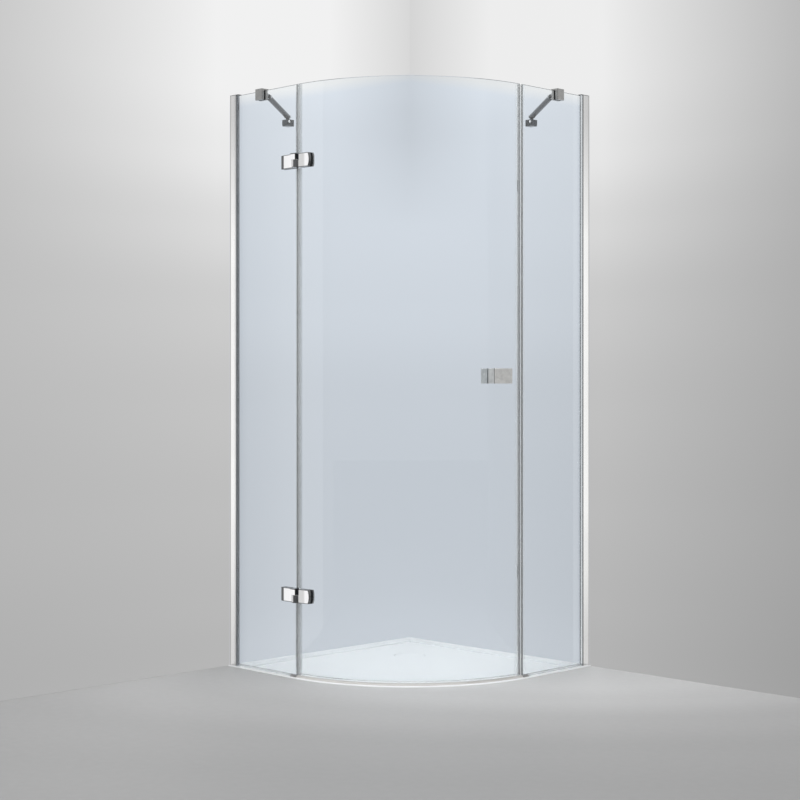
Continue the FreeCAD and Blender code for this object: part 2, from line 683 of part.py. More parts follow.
# Threshold under the door, with an end cap under each fixed panel's end
def threshold():
    strip = body("threshold_strip")
    half = "threshold_width/2"
    inner = "glass_radius - " + half
    outer = "glass_radius + " + half
    side = "threshold_height - threshold_bevel"
    turned(strip, "strip", [
        (inner, "0"), (outer, "0"), (outer, side), (outer + " - threshold_bevel", "threshold_height"),
        (inner + " + threshold_bevel", "threshold_height"), (inner, side)], "90")
    strip.Placement = FreeCAD.Placement(vector(), FreeCAD.Rotation(up, -90))
    in_arc(node(strip, "threshold_strip"), "tray_height")
    cap = body("left_threshold_cap")
    block = pad(cap, "threshold_block", polygon(sketch(cap, "threshold_block_outline"), rectangle(
        "straight - threshold_cap_length", "straight", "-threshold_cap_width/2", "threshold_cap_width/2")),
                "threshold_height")
    top = value("threshold_height")
    dress(cap, "Chamfer", "threshold_block_edges", block,
          lambda edge: is_level_at(edge, top) and edge.BoundBox.XLength > tolerance, "threshold_bevel")
    in_panel(node(cap, "left_threshold_cap"), "tray_height")
    mirrored(cap, "right_threshold_cap")


# Clip-on seals along the upright seams
def hinge_gaps(name, frame_box):
    # the upright seals stop above and below each hinge
    gaps = []
    for height in ("upper_hinge_height", "lower_hinge_height"):
        low = "tray_height + %s - half_hinge - notch_margin" % height
        gaps.append(frame_box("%s_%s" % (name, height), "hinge_height + 2*notch_margin", low))
    return fuse(name, gaps)


def clip_section(reach, end):
    # a U section over the free edge of a fixed glass, solid from that edge to its end
    start = "fixed_edge - " + reach
    return [(start, "-clip_half"), (end, "-clip_half"), (end, "clip_half"), (start, "clip_half"),
            (start, "glass_half"), ("fixed_edge", "glass_half"), ("fixed_edge", "-glass_half"),
            (start, "-glass_half")]


def fixed_strips():
    seal = body("edge_clip")
    section = polygon(sketch(seal, "edge_clip_section"),
                      clip_section("fixed_clip_reach", "fixed_edge + clip_web"))
    pad(seal, "edge_clip_length", section, "strip_height")
    place(seal, z="strip_bottom")
    gaps = hinge_gaps("edge_clip_gaps", lambda name, height, z: box(
        name, "3*fixed_clip_reach", "4*clip_half", height, "fixed_edge - 2*fixed_clip_reach",
        "-2*clip_half", z))
    in_panel(node(cut("fixed_edge_seal", seal, gaps), "fixed_edge_seal"))

    strip = body("magnet_clip")
    end = "fixed_edge + clip_web + fixed_magnet_length"
    section = polygon(sketch(strip, "magnet_clip_section"), clip_section("clip_reach", end))
    chamber = rectangle("fixed_edge + clip_web", end + " - clip_wall", "clip_wall - clip_half",
                        "clip_half - clip_wall")
    pad(strip, "magnet_clip_length", polygon(section, chamber), "strip_height")
    mirrored(in_panel(strip, "strip_bottom"), "fixed_magnet_strip")
    bar = body("fixed_bar")
    section = polygon(sketch(bar, "fixed_bar_section"), rectangle(
        "fixed_edge + clip_web + magnet_play", end + " - clip_wall - magnet_play",
        "clip_wall + magnet_play - clip_half", "clip_half - clip_wall - magnet_play"))
    pad(bar, "fixed_bar_length", section, "strip_height")
    mirrored(in_panel(bar, "strip_bottom"), "fixed_magnet_bar")


def door_strips():
    outer = "glass_radius + clip_half"
    inner = "glass_radius - clip_half"
    start = "door_start - clip_web - bulb_length"
    whole = sector("hinge_seal_blank", outer, inner, "strip_height", start,
                   "hinge_clip_reach + clip_web + bulb_length", "strip_bottom")
    slot = sector("hinge_seal_slot", "glass_outer", "glass_inner", "strip_height", "door_start",
                  "2*hinge_clip_reach", "strip_bottom")
    hollow = sector("hinge_seal_hollow", outer + " - clip_wall", inner + " + clip_wall", "strip_height",
                    start + " + clip_wall", "bulb_length - clip_wall", "strip_bottom")
    gaps = hinge_gaps("hinge_seal_gaps", lambda name, height, z: sector(
        name, outer + " + clip_wall", inner + " - clip_wall", height, "-hinge_clip_reach",
        "4*hinge_clip_reach", z))
    in_arc(node(cut("door_hinge_seal", whole, fuse("hinge_seal_cuts", [slot, hollow, gaps])),
                "door_hinge_seal"))

    edge = "straight_arc - door_end"
    whole = sector("door_clip_blank", outer, inner, "strip_height", edge + " - clip_reach",
                   "clip_reach + clip_web + door_magnet_length", "strip_bottom")
    slot = sector("door_clip_slot", "glass_outer", "glass_inner", "strip_height",
                  edge + " - 2*clip_reach", "2*clip_reach", "strip_bottom")
    chamber = sector("door_chamber", outer + " - clip_wall", inner + " + clip_wall", "strip_height",
                     edge + " + clip_web", "door_magnet_length - clip_wall", "strip_bottom")
    in_arc(node(cut("door_magnet_strip", whole, fuse("door_clip_cuts", [slot, chamber])),
                "door_magnet_strip"))
    bar = sector("door_bar", outer + " - clip_wall - magnet_play", inner + " + clip_wall + magnet_play",
                 "strip_height", edge + " + clip_web + magnet_play",
                 "door_magnet_length - clip_wall - 2*magnet_play", "strip_bottom")
    in_arc(node(bar, "door_magnet_bar"))

    drip = body("door_bottom_seal")
    clip_low = "door_bottom - clip_web"
    lip_low = "tray_height + threshold_height + seal_gap"
    lip_outer = "glass_radius + drip_lip_thick/2"
    lip_inner = "glass_radius - drip_lip_thick/2"
    grip = "door_bottom + drip_clip_height"
    reach = "straight_arc - door_start - door_end - hinge_clip_reach - clip_reach - seal_gap"
    turned(drip, "drip", [
        (inner, clip_low), (lip_inner, clip_low), (lip_inner, lip_low), (lip_outer, lip_low),
        (lip_outer, clip_low), (outer, clip_low), (outer, grip), ("glass_outer", grip),
        ("glass_outer", "door_bottom"), ("glass_inner", "door_bottom"), ("glass_inner", grip),
        (inner, grip)], angle_of(reach))
    turn = value(angle_of("door_start + hinge_clip_reach + seal_gap/2")) - 90
    drip.Placement = FreeCAD.Placement(vector(), FreeCAD.Rotation(up, turn))
    in_arc(node(drip, "door_bottom_seal"))


# Places on the round glass: radial direction at a length along it
def radial(length):
    turn = FreeCAD.Rotation(up, value(angle_of(length)) - 90)
    return turn.multVec(vector(1, 0, 0))


def on_arc(length, radius, z):
    return radial(length) * value(radius) + vector(0, 0, value(z))


door_screws = ("pivot_along + door_screw_near", "pivot_along + door_screw_far")
hinges = {"upper": "tray_height + upper_hinge_height", "lower": "tray_height + lower_hinge_height"}


def handle_frame(item):
    turn = FreeCAD.Rotation(up, value("handle_turn") - 45)
    item.Placement = FreeCAD.Placement(vector(), turn)
    return item


# Door glass, notched and drilled for the hinges and drilled for the handle
def door_glass():
    owner = body("curved_sheet")
    turned(owner, "sheet_section", [
        ("glass_inner", "door_bottom + glass_bevel"), ("glass_inner + glass_bevel", "door_bottom"),
        ("glass_outer - glass_bevel", "door_bottom"), ("glass_outer", "door_bottom + glass_bevel"),
        ("glass_outer", "glass_top - glass_bevel"), ("glass_outer - glass_bevel", "glass_top"),
        ("glass_inner + glass_bevel", "glass_top"), ("glass_inner", "glass_top - glass_bevel")],
        angle_of("straight_arc - door_start - door_end"))
    owner.Placement = FreeCAD.Placement(vector(), FreeCAD.Rotation(up, value(angle_of("door_start")) - 90))
    tools = []
    for which, height in hinges.items():
        low = height + " - half_hinge - notch_margin"
        tools.append(sector(which + "_notch", "glass_outer + pad_thick", "glass_inner - pad_thick",
                            "hinge_height + 2*notch_margin", "0", "pivot_along + notch_reach", low))
        for index, length in enumerate(door_screws):
            hole = cylinder("%s_glass_hole_%d" % (which, index), "hole_radius", "3*glass_thick")
            tools.append(framed(hole, on_arc(length, "glass_radius - 1.5*glass_thick", height),
                                radial(length)))
    holes = []
    for side in ("-", ""):
        holes.append(cylinder("handle_glass_hole" + side.replace("-", "_left"), "hole_radius",
                              "3*glass_thick", "glass_radius - 1.5*glass_thick",
                              side + "handle_screw_half", "tray_height + handle_rise",
                              axis=vector(1, 0, 0)))
    tools.append(handle_frame(group("handle_glass_holes", holes)))
    in_arc(node(cut("door_glass", owner, fuse("door_glass_cuts", tools)), "door_glass"))


# A clamp screw's own Z axis runs from its head to its tip
def clamp_screw(name, length):
    head = cone(name + "_head", "clamp_head_radius", "clamp_screw_radius", "clamp_head_depth")
    shank = cylinder(name + "_shank", "clamp_screw_radius", length)
    socket = doc.addObject("Part::Prism", name + "_socket")
    socket.Polygon = 6
    bind(socket, Circumradius="clamp_socket/2", Height="clamp_socket_depth")
    return cut(name, fuse(name + "_solid", [head, shank]), socket)


def clamp_screw_room(name, length):
    head = cone(name + "_head", "clamp_head_radius + screw_play", "clamp_screw_radius + screw_play",
                "clamp_head_depth")
    shank = cylinder(name + "_shank", "clamp_screw_radius + screw_play", length)
    return fuse(name, [head, shank])


# Hinge parts on the fixed panel, in the hinge frame
def fixed_hinge_parts(which):
    height = hinges[which]
    leaf = body(which + "_hinge_fixed_leaf")
    plate = pad(leaf, which + "_leaf_plate", polygon(sketch(leaf, which + "_leaf_outline",
                                                            offset="-half_hinge"), [
        ("-fixed_leaf_far", "back_of_leaf"), ("-fixed_leaf_far", "front_of_leaf + leaf_bevel_depth"),
        ("leaf_bevel_length - fixed_leaf_far", "front_of_leaf"), ("-fixed_leaf_near", "front_of_leaf"),
        ("-fixed_leaf_near", "back_of_leaf")]), "hinge_height")
    dress(leaf, "Chamfer", which + "_leaf_edges", plate,
          lambda edge: is_level_at(edge, value("half_hinge")) or is_level_at(edge, -value("half_hinge")),
          "glass_bevel")
    pad(leaf, which + "_block", polygon(sketch(leaf, which + "_block_outline", offset="block_bottom"),
                                        rectangle("-fixed_leaf_near - 2*block_back", "block_half",
                                                  "-block_half", "back_of_leaf - block_back")),
        "block_height + block_proud")
    bore = circle(sketch(leaf, which + "_bore_outline", offset="block_bottom"), "0", "0",
                  "pin_radius + pin_seat")
    pocket(leaf, which + "_bore", bore, "block_height + block_proud - pin_top + pin_seat", flipped=True)
    for index, x in enumerate(("fixed_screw_near", "fixed_screw_far")):
        spot = circle(sketch(leaf, "%s_leaf_spot_%d" % (which, index), "XZ_Plane",
                             "-front_of_leaf - clamp_screw_end"), "-" + x, "0",
                      "clamp_screw_radius + screw_play")
        pocket(leaf, "%s_leaf_hole_%d" % (which, index), spot)
    in_hinge(node(leaf, which + "_hinge_fixed_leaf"), height)

    pin = cylinder(which + "_pin", "pin_radius", "block_top - pin_top + half_hinge - barrel_floor - pin_play",
                   z="barrel_floor + pin_play - half_hinge")
    in_hinge(node(group(which + "_hinge_pin", [pin]), which + "_hinge_pin"), height)

    clamp = body(which + "_hinge_fixed_plate")
    outline = rectangle("-fixed_leaf_far", "-fixed_leaf_near", "front_of_plate", "back_of_plate")
    slab = pad(clamp, which + "_fixed_slab", polygon(sketch(
        clamp, which + "_fixed_slab_outline", offset="-half_hinge"), outline), "hinge_height")
    far = value("back_of_plate")
    dress(clamp, "Chamfer", which + "_fixed_slab_edges", slab,
          lambda edge: edge.BoundBox.YLength < tolerance and abs(edge.BoundBox.YMin - far) < tolerance,
          "2*glass_bevel")
    rooms = []
    gasket_holes = []
    screws = []
    length = "back_of_plate - front_of_leaf - clamp_screw_end"
    for index, x in enumerate(("fixed_screw_near", "fixed_screw_far")):
        head = vector(-value(x), far, 0)
        screws.append(framed(clamp_screw("%s_fixed_screw_%d" % (which, index), length), head,
                             vector(0, -1, 0)))
        rooms.append(framed(clamp_screw_room("%s_fixed_room_%d" % (which, index), length), head,
                            vector(0, -1, 0)))
        gasket_holes.append(cylinder("%s_fixed_gasket_hole_%d" % (which, index),
                                     "clamp_screw_radius + collar_bore_gap", "4*glass_thick", "-" + x,
                                     "back_of_leaf - glass_thick", axis=vector(0, 1, 0)))
    drilled = cut(which + "_hinge_fixed_plate_drilled", clamp, fuse(which + "_fixed_rooms", rooms))
    in_hinge(node(drilled, which + "_hinge_fixed_plate"), height)

    collars = [cylinder("%s_fixed_collar_%d" % (which, index), "collar_radius", "glass_thick + pad_thick",
                        "-" + x, "back_of_leaf", axis=vector(0, 1, 0))
               for index, x in enumerate(("fixed_screw_near", "fixed_screw_far"))]
    width = "fixed_leaf_far - fixed_leaf_near"
    pads = [box("%s_fixed_pad_%s" % (which, side), width, "pad_thick", "hinge_height", "-fixed_leaf_far",
                y, "-half_hinge")
            for side, y in (("outer", "back_of_leaf"), ("inner", "pivot_out + glass_half"))]
    outer = cut(which + "_fixed_outer_gasket", fuse(which + "_fixed_outer_pad", [pads[0]] + collars),
                fuse(which + "_fixed_outer_holes", gasket_holes))
    inner = cut(which + "_fixed_inner_gasket", pads[1], fuse(which + "_fixed_inner_holes", gasket_holes))
    gaskets = in_hinge(group(which + "_fixed_gaskets", [outer, inner]), height)
    return in_hinge(group(which + "_fixed_screws", screws), height), gaskets


# Hinge parts on the door, in the arc frame
def arched(name, length, start_radius, near, far, slope):
    # the far end of a leaf is arched and sloped: a cone about a radius of the round glass
    dome = cone(name + "_arch", start_radius, "leaf_arch_radius - (%s)" % slope, "%s - (%s)" % (far, near))
    framed(dome, on_arc(length, near, "0"), radial(length))
    return dome


def door_hinge_parts(which):
    height = hinges[which]
    start = "pivot_along + door_leaf_near"
    reach = "door_leaf_far - door_leaf_near"
    centre = "pivot_along + door_leaf_far - leaf_arch_radius"
    low = "-half_hinge"
    plate = sector(which + "_door_leaf_blank", "leaf_front", "leaf_back", "hinge_height", start, reach, low)
    dome = arched(which + "_door_leaf", centre, "leaf_arch_radius", "leaf_back", "leaf_front",
                  "leaf_arch_bevel")
    shaped = common(which + "_door_leaf_plate", [plate, dome])
    barrel_height = "barrel_top + half_hinge"
    barrel = cylinder(which + "_barrel", "barrel_radius", barrel_height, "pivot_along", "-pivot_radius", low)
    web = box(which + "_web", "door_leaf_near + 2*knuckle_gap", "back_of_leaf - front_of_leaf",
              barrel_height, "pivot_along", "-pivot_radius + front_of_leaf", low)
    bore = cylinder(which + "_barrel_bore", "bush_radius + pin_seat", barrel_height, "pivot_along",
                    "-pivot_radius", low + " + barrel_floor")
    tools = [bore]
    rooms = []
    screws = []
    gasket_holes = []
    collars = []
    length = "leaf_front - clamp_screw_end - plate_back"
    for index, along in enumerate(door_screws):
        head = on_arc(along, "plate_back", "0")
        name = "%s_door_%%s_%d" % (which, index)
        screws.append(framed(clamp_screw(name % "screw", length), head, radial(along)))
        room = framed(clamp_screw_room(name % "room", length), head, radial(along))
        rooms.append(room)
        tools.append(room)
        hole = cylinder(name % "gasket_hole", "clamp_screw_radius + collar_bore_gap", "4*glass_thick")
        gasket_holes.append(framed(hole, on_arc(along, "plate_front - glass_thick", "0"), radial(along)))
        collar = cylinder(name % "collar", "collar_radius", "glass_thick + pad_thick/2")
        collars.append(framed(collar, on_arc(along, "glass_inner", "0"), radial(along)))
    leaf = cut(which + "_hinge_door_leaf", fuse(which + "_door_leaf_solid", [shaped, barrel, web]),
               fuse(which + "_door_leaf_cuts", tools))
    in_arc(node(leaf, which + "_hinge_door_leaf"), height)

    bush = body(which + "_hinge_bush")
    turned(bush, which + "_bush_section", [
        ("bush_bore", "barrel_floor - half_hinge"), ("bush_radius", "barrel_floor - half_hinge"),
        ("bush_radius", "barrel_top"), ("barrel_radius - bush_flange", "barrel_top"),
        ("barrel_radius - bush_flange", "barrel_top + bush_flange"),
        ("bush_bore", "barrel_top + bush_flange")])
    in_hinge(node(bush, which + "_hinge_bush"), height)

    slab = sector(which + "_door_plate_blank", "plate_front", "plate_back", "hinge_height", start, reach, low)
    rim = cylinder(which + "_door_plate_rim", "leaf_arch_radius", "3*plate_thick")
    framed(rim, on_arc(centre, "plate_back - plate_thick", "0"), radial(centre))
    drilled = cut(which + "_door_plate_drilled", common(which + "_door_plate_shape", [slab, rim]),
                  fuse(which + "_door_rooms", rooms))
    in_arc(node(drilled, which + "_hinge_door_plate"), height)

    gaskets = []
    for side, outside, inside in (("outer", "leaf_back", "glass_outer"), ("inner", "glass_inner",
                                                                         "plate_front")):
        name = "%s_door_%s" % (which, side)
        blank = sector(name + "_pad", outside, inside, "hinge_height", start, reach, low)
        edge = cylinder(name + "_rim", "leaf_arch_radius", "3*glass_thick")
        framed(edge, on_arc(centre, "glass_radius - 1.5*glass_thick", "0"), radial(centre))
        shape = common(name + "_shape", [blank, edge])
        if side == "outer":
            shape = fuse(name + "_with_collars", [shape] + collars)
        gaskets.append(cut(name + "_gasket", shape, fuse(name + "_holes", gasket_holes)))
    return (in_arc(group(which + "_door_screws", screws), height),
            in_arc(group(which + "_door_gaskets", gaskets), height))


def hinge_parts():
    fixed = [fixed_hinge_parts(which) for which in hinges]
    door = [door_hinge_parts(which) for which in hinges]
    for label, parts in (("hinge_fixed_screws", [pair[0] for pair in fixed]),
                         ("hinge_fixed_gaskets", [pair[1] for pair in fixed]),
                         ("hinge_door_screws", [pair[0] for pair in door]),
                         ("hinge_door_gaskets", [pair[1] for pair in door])):
        node(group(label, parts), label)


# Handle pair: two slices of a rectangular tube, one on each side of the door glass
def handle(name, near, far):
    # near and far are distances from the arc centre: near at the glass, far at the grip
    outward = value(far) > value(near)
    side = "" if outward else "-"
    owner = body(name + "_tube")
    outline = sketch(owner, name + "_outline", offset="-handle_tall/2")
    polygon(outline, rectangle(near, far, "-handle_width/2", "handle_width/2"))
    tube = pad(owner, name + "_length", outline, "handle_tall")
    edge_x = value(far)
    rounded = dress(owner, "Fillet", name + "_corners", tube,
                    lambda edge: is_upright(edge) and abs(edge.BoundBox.XMin - edge_x) < tolerance,
                    "handle_round")
    half = value("handle_tall/2")
    dress(owner, "Chamfer", name + "_edges", rounded,
          lambda edge: is_level_at(edge, half) or is_level_at(edge, -half), "glass_bevel")
    gap = sketch(owner, name + "_gap", offset="-handle_tall/2")
    grip = "%s - %s1*handle_wall" % (far, side)
    seat = "%s + %s1*handle_seat" % (near_face(outward), side)
    polygon(gap, rectangle(seat, grip, "handle_wall - handle_width/2", "handle_width/2 - handle_wall"))
    pocket(owner, name + "_finger_gap", gap, flipped=True)
    return owner


def near_face(outward):
    return "leaf_back" if outward else "plate_front"


def turned_round(item):
    # the seam of the round face lies away from the handle
    item.Placement = FreeCAD.Placement(vector(), FreeCAD.Rotation(up, 180))
    return place(item, z="-handle_tall")


def handle_parts():
    height = "tray_height + handle_rise"
    sagitta = "handle_width*handle_width/8/glass_radius"
    outer = handle("outer_handle", "leaf_back - 2*(%s)" % sagitta, "leaf_back + handle_depth")
    inner = handle("inner_handle", "plate_front", "plate_front - handle_depth")
    seat, seat_rim, seat_core = [
        turned_round(cylinder(name, radius, "2*handle_tall", z="-handle_tall"))
        for name, radius in (("outer_seat", "leaf_back"), ("inner_seat_rim", "glass_outer"),
                             ("inner_seat_core", "plate_front"))]
    ring = cut("inner_seat", seat_rim, seat_core)
    start = "plate_front - handle_seat"
    end = "leaf_back + handle_seat - handle_screw_end"
    screws = []
    rooms = []
    collars = []
    bores = []
    for index, side in enumerate(("-", "")):
        y = side + "handle_screw_half"
        name = "handle_%%s_%d" % index
        head = cylinder(name % "head", "handle_head_diameter/2", "handle_head_height",
                        start + " - handle_head_height", y, axis=vector(1, 0, 0))
        shank = cylinder(name % "shank", "handle_screw_radius", "%s - (%s)" % (end, start), start, y,
                         axis=vector(1, 0, 0))
        screws.append(fuse(name % "screw", [head, shank]))
        rooms.append(cylinder(name % "room", "handle_screw_radius + screw_play", "%s - (%s)" % (end, start),
                              start, y, axis=vector(1, 0, 0)))
        bores.append(cylinder(name % "bore", "handle_screw_radius + collar_bore_gap", "4*glass_thick",
                              "glass_radius - 2*glass_thick", y, axis=vector(1, 0, 0)))
        collars.append(cylinder(name % "collar", "collar_radius", "2*glass_thick",
                                "glass_radius - glass_thick", y, axis=vector(1, 0, 0)))
    room = group("handle_rooms", rooms)
    pieces = {"outer_handle": cut("outer_handle_cut", outer, fuse("outer_handle_tools", [seat, room])),
              "inner_handle": cut("inner_handle_cut", inner, fuse("inner_handle_tools", [ring, room]))}

    # each gasket follows the glass, and the outer one carries the collars that line the glass holes
    pad_start = "handle_arc - handle_width/2 + handle_pad_margin"
    pad_width = "handle_width - 2*handle_pad_margin"
    rings = {name: sector(name, outside, inside, "handle_tall", pad_start, pad_width, "-handle_tall/2")
             for name, outside, inside in (("outer_pad", "leaf_back", "glass_outer"),
                                           ("inner_pad", "glass_inner", "plate_front"),
                                           ("collar_ring", "glass_outer", "glass_inner"))}
    bore_pair = handle_frame(group("handle_bores", bores))
    lined = common("lined_collars", [rings["collar_ring"], handle_frame(group("handle_collars", collars))])
    outer_gasket = cut("outer_handle_gasket", fuse("outer_pad_with_collars", [rings["outer_pad"], lined]),
                       bore_pair)
    inner_gasket = cut("inner_handle_gasket", rings["inner_pad"], bore_pair)
    gaskets = group("handle_gaskets", [outer_gasket, inner_gasket])
    in_arc(node(gaskets, "handle_gaskets"), height)
    pieces["handle_screws"] = group("handle_screw_pair", screws)
    for label, item in pieces.items():
        in_arc(node(handle_frame(item), label), height)


# Brace: a clamp over the fixed glass, a bar and a wall bracket, in the panel frame
def brace():
    start = vector(value("clamp_pivot_along"), value("clamp_width/2 + lug_reach"),
                   value("glass_top - clamp_pivot_drop"))
    end = vector(value("bracket_pivot_out"), value("bracket_back"), value("glass_top - bracket_drop"))
    slope = (end - start).normalize()
    level = vector(slope.x, slope.y, 0).normalize()
    across = up.cross(level)
    sideways = vector(0, 1, 0)
    level_turn = FreeCAD.Rotation(level, across, up, "XYZ")
    bar_turn = FreeCAD.Rotation(slope, across, slope.cross(across), "XYZ")

    # each lug is a round eye at its pivot with a web to the clamp's side or to the bracket's top
    def lug(name, pivot, web):
        eye = cylinder(name + "_eye", "lug_radius", "2*lug_half", y="-lug_half", axis=sideways)
        item = fuse(name, [eye, web])
        item.Placement = FreeCAD.Placement(pivot, level_turn)
        return item

    def pin_hole(name, pivot):
        hole = group(name, [cylinder(name + "_bore", "brace_pin_radius + screw_play", "3*bar_diameter",
                                     y="-1.5*bar_diameter", axis=sideways)])
        hole.Placement = FreeCAD.Placement(pivot, level_turn)
        return hole

    holes = [pin_hole("clamp_pin_hole", start), pin_hole("bracket_pin_hole", end)]

    block = body("clamp_block")
    top = value("clamp_height")
    outline = rectangle("-clamp_length/2", "clamp_length/2", "-clamp_width/2", "clamp_width/2")
    solid = pad(block, "clamp_solid", polygon(sketch(block, "clamp_outline"), outline), "clamp_height")
    rounded = dress(block, "Fillet", "clamp_corners", solid, is_upright, "clamp_round")
    dress(block, "Chamfer", "clamp_edges", rounded,
          lambda edge: is_level_at(edge, top) or is_level_at(edge, 0), "glass_bevel")
    slot = polygon(sketch(block, "clamp_slot_section", "YZ_Plane"), rectangle(
        "-slot_half", "slot_half", "-clamp_pad", "clamp_height - clamp_above + clamp_pad"))
    pocket(block, "clamp_slot", slot, both=True)
    place(block, "clamp_along", "0", "clamp_top - clamp_height")
    web_length = "lug_reach*brace_run/brace_across + lug_half + screw_play"
    web = box("clamp_web", web_length, "2*lug_half", "2*lug_radius", "-(%s)" % web_length, "-lug_half",
              "-lug_radius")
    grub_place = ("clamp_along - clamp_length/4", "slot_half", "glass_top - clamp_pivot_drop/2")
    grub_hole = cylinder("grub_hole", "grub_diameter/2 + screw_play", "clamp_width", *grub_place,
                         axis=sideways)
    clamp = cut("left_brace_clamp", fuse("clamp_with_lug", [block, lug("clamp_lug", start, web)]),
                fuse("clamp_holes", [holes[0], grub_hole]))

    pads = body("clamp_pads")
    section = polygon(sketch(pads, "pads_section", "YZ_Plane"), [
        ("-slot_half", "0"), ("-glass_half", "0"), ("-glass_half", "clamp_height - clamp_above"),
        ("glass_half", "clamp_height - clamp_above"), ("glass_half", "0"), ("slot_half", "0"),
        ("slot_half", "clamp_height - clamp_above + clamp_pad"),
        ("-slot_half", "clamp_height - clamp_above + clamp_pad")])
    pad(pads, "pads_length", section, "clamp_length - 2*clamp_pad_margin").Midplane = True
    place(pads, "clamp_along", "0", "clamp_top - clamp_height")

    rod = cylinder("brace_rod", "bar_radius", "brace_length", axis=vector(1, 0, 0))
    ends = []
    slots = []
    for index, x in enumerate(("0", "brace_length")):
        ball = doc.addObject("Part::Sphere", "brace_end_%d" % index)
        bind(ball, Radius="bar_radius")
        ends.append(place(ball, x))
        slots.append(box("brace_slot_%d" % index, "2*bar_slot_length", "2*lug_half + 2*bar_slot_play",
                         "4*bar_radius", x + " - bar_slot_length", "-lug_half - bar_slot_play",
                         "-2*bar_radius"))
        slots.append(cylinder("brace_bore_%d" % index, "brace_pin_radius + screw_play", "4*bar_radius", x,
                              "-2*bar_radius", axis=sideways))
    bar = cut("brace_bar_shape", fuse("brace_rod_with_ends", [rod] + ends), fuse("brace_bar_cuts", slots))
    bar.Placement = FreeCAD.Placement(start, bar_turn)

    bracket = body("bracket_block")
    outline = rectangle("0", "bracket_reach", "bracket_middle - bracket_width/2",
                        "bracket_middle + bracket_width/2")
    solid = pad(bracket, "bracket_solid", polygon(sketch(bracket, "bracket_outline"), outline),
                "bracket_height")
    rounded = dress(bracket, "Fillet", "bracket_corners", solid,
                    lambda edge: is_upright(edge) and edge.BoundBox.XMin > tolerance, "clamp_round")
    height = value("bracket_height")
    dress(bracket, "Chamfer", "bracket_edges", rounded,
          lambda edge: is_level_at(edge, height) or is_level_at(edge, 0), "glass_bevel")
    screw = circle(sketch(bracket, "bracket_screw_place", "YZ_Plane"), "bracket_middle", "bracket_height/2",
                   "wall_hole_diameter/2")
    pocket(bracket, "bracket_screw_hole", screw, flipped=True)
    place(bracket, "0", "0", "bracket_top - bracket_height")
    drop = "glass_top - bracket_drop - bracket_top + glass_bevel"
    post = box("bracket_post", "2*lug_radius", "2*lug_half", drop, "-lug_radius", "-lug_half",
               "-(%s)" % drop)
    bracket_solid = fuse("bracket_with_lug", [bracket, lug("bracket_lug", end, post)])
    wall_bracket = cut("left_wall_bracket", bracket_solid, holes[1])

    pins = []
    for index, pivot in enumerate((start, end)):
        name = "brace_pin_%%s_%d" % index
        shaft = cylinder(name % "shaft", "brace_pin_radius", "2*bar_radius", y="-bar_radius", axis=sideways)
        heads = [cylinder(name % side, "brace_pin_head/2", "brace_pin_head_thick", y=y, axis=sideways)
                 for side, y in (("near", "-bar_radius - brace_pin_head_thick"), ("far", "bar_radius"))]
        pin = fuse(name % "whole", [shaft] + heads)
        pin.Placement = FreeCAD.Placement(pivot, level_turn)
        pins.append(pin)
    grub = cylinder("grub_screw", "grub_diameter/2", "grub_length", *grub_place, axis=sideways)

    for label, item in (("left_brace_clamp", clamp), ("left_clamp_pads", group("pads", [pads])),
                        ("left_brace_bar", group("bar", [bar])), ("left_wall_bracket", wall_bracket)):
        in_panel(node(item, label))
        mirrored(item, label.replace("left", "right"))
    for label, parts in (("brace_pins", pins), ("brace_grub_screws", [grub])):
        near_side = in_panel(group(label + "_left", parts))
        far_side = reflected(near_side, label + "_right")
        node(group(label, [near_side, far_side]), label)


shower_tray()
drain()
wall_side()
lock_screws()
fixed_panels()
threshold()
fixed_strips()
door_strips()
door_glass()
hinge_parts()
handle_parts()
brace()
doc.recompute()

for item in doc.Objects:
    if {"Invalid", "Error"} & set(item.State):
        raise RuntimeError("%s is not computed: %s" % (item.Name, item.State))
for label, item in nodes.items():
    if item.Shape.isNull() or not item.Shape.isValid() or not item.Shape.Solids:
        raise RuntimeError("%s has no valid solid" % label)

os.makedirs("parts", exist_ok=True)
for label, item in nodes.items():
    item.Shape.exportStep("parts/%s.step" % label)
    print("%-28s %2d solids %12.1f mm3" % (label, len(item.Shape.Solids), item.Shape.Volume))
print(len(nodes), "nodes")
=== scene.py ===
import math

import bmesh
import bpy
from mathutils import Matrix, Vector


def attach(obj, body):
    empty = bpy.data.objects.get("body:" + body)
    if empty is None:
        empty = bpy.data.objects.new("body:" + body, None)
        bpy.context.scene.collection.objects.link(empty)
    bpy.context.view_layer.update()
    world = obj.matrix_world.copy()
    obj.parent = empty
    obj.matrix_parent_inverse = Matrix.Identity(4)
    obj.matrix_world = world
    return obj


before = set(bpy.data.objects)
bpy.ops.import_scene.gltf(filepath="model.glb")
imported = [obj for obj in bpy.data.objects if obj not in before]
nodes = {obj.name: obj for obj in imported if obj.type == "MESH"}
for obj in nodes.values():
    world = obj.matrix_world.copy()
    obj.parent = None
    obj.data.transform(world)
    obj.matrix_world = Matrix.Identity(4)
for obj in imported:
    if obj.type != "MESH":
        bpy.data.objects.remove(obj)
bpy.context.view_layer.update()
print("frame loaded:", len(nodes), "pieces")

# small helpers for node trees

def addNode(tree, kind, **settings):
    made = tree.nodes.new(kind)
    for name, value in settings.items():
        setattr(made, name, value)
    return made


def plug(tree, source, target):
    tree.links.new(source, target)


def newMaterial(name):
    material = bpy.data.materials.new(name)
    material.use_nodes = True
    tree = material.node_tree
    tree.nodes.clear()
    output = addNode(tree, "ShaderNodeOutputMaterial")
    shader = addNode(tree, "ShaderNodeBsdfPrincipled")
    plug(tree, shader.outputs["BSDF"], output.inputs["Surface"])
    return material, tree, shader, output


def newObject(name, data):
    made = bpy.data.objects.new(name, data)
    bpy.context.scene.collection.objects.link(made)
    return made


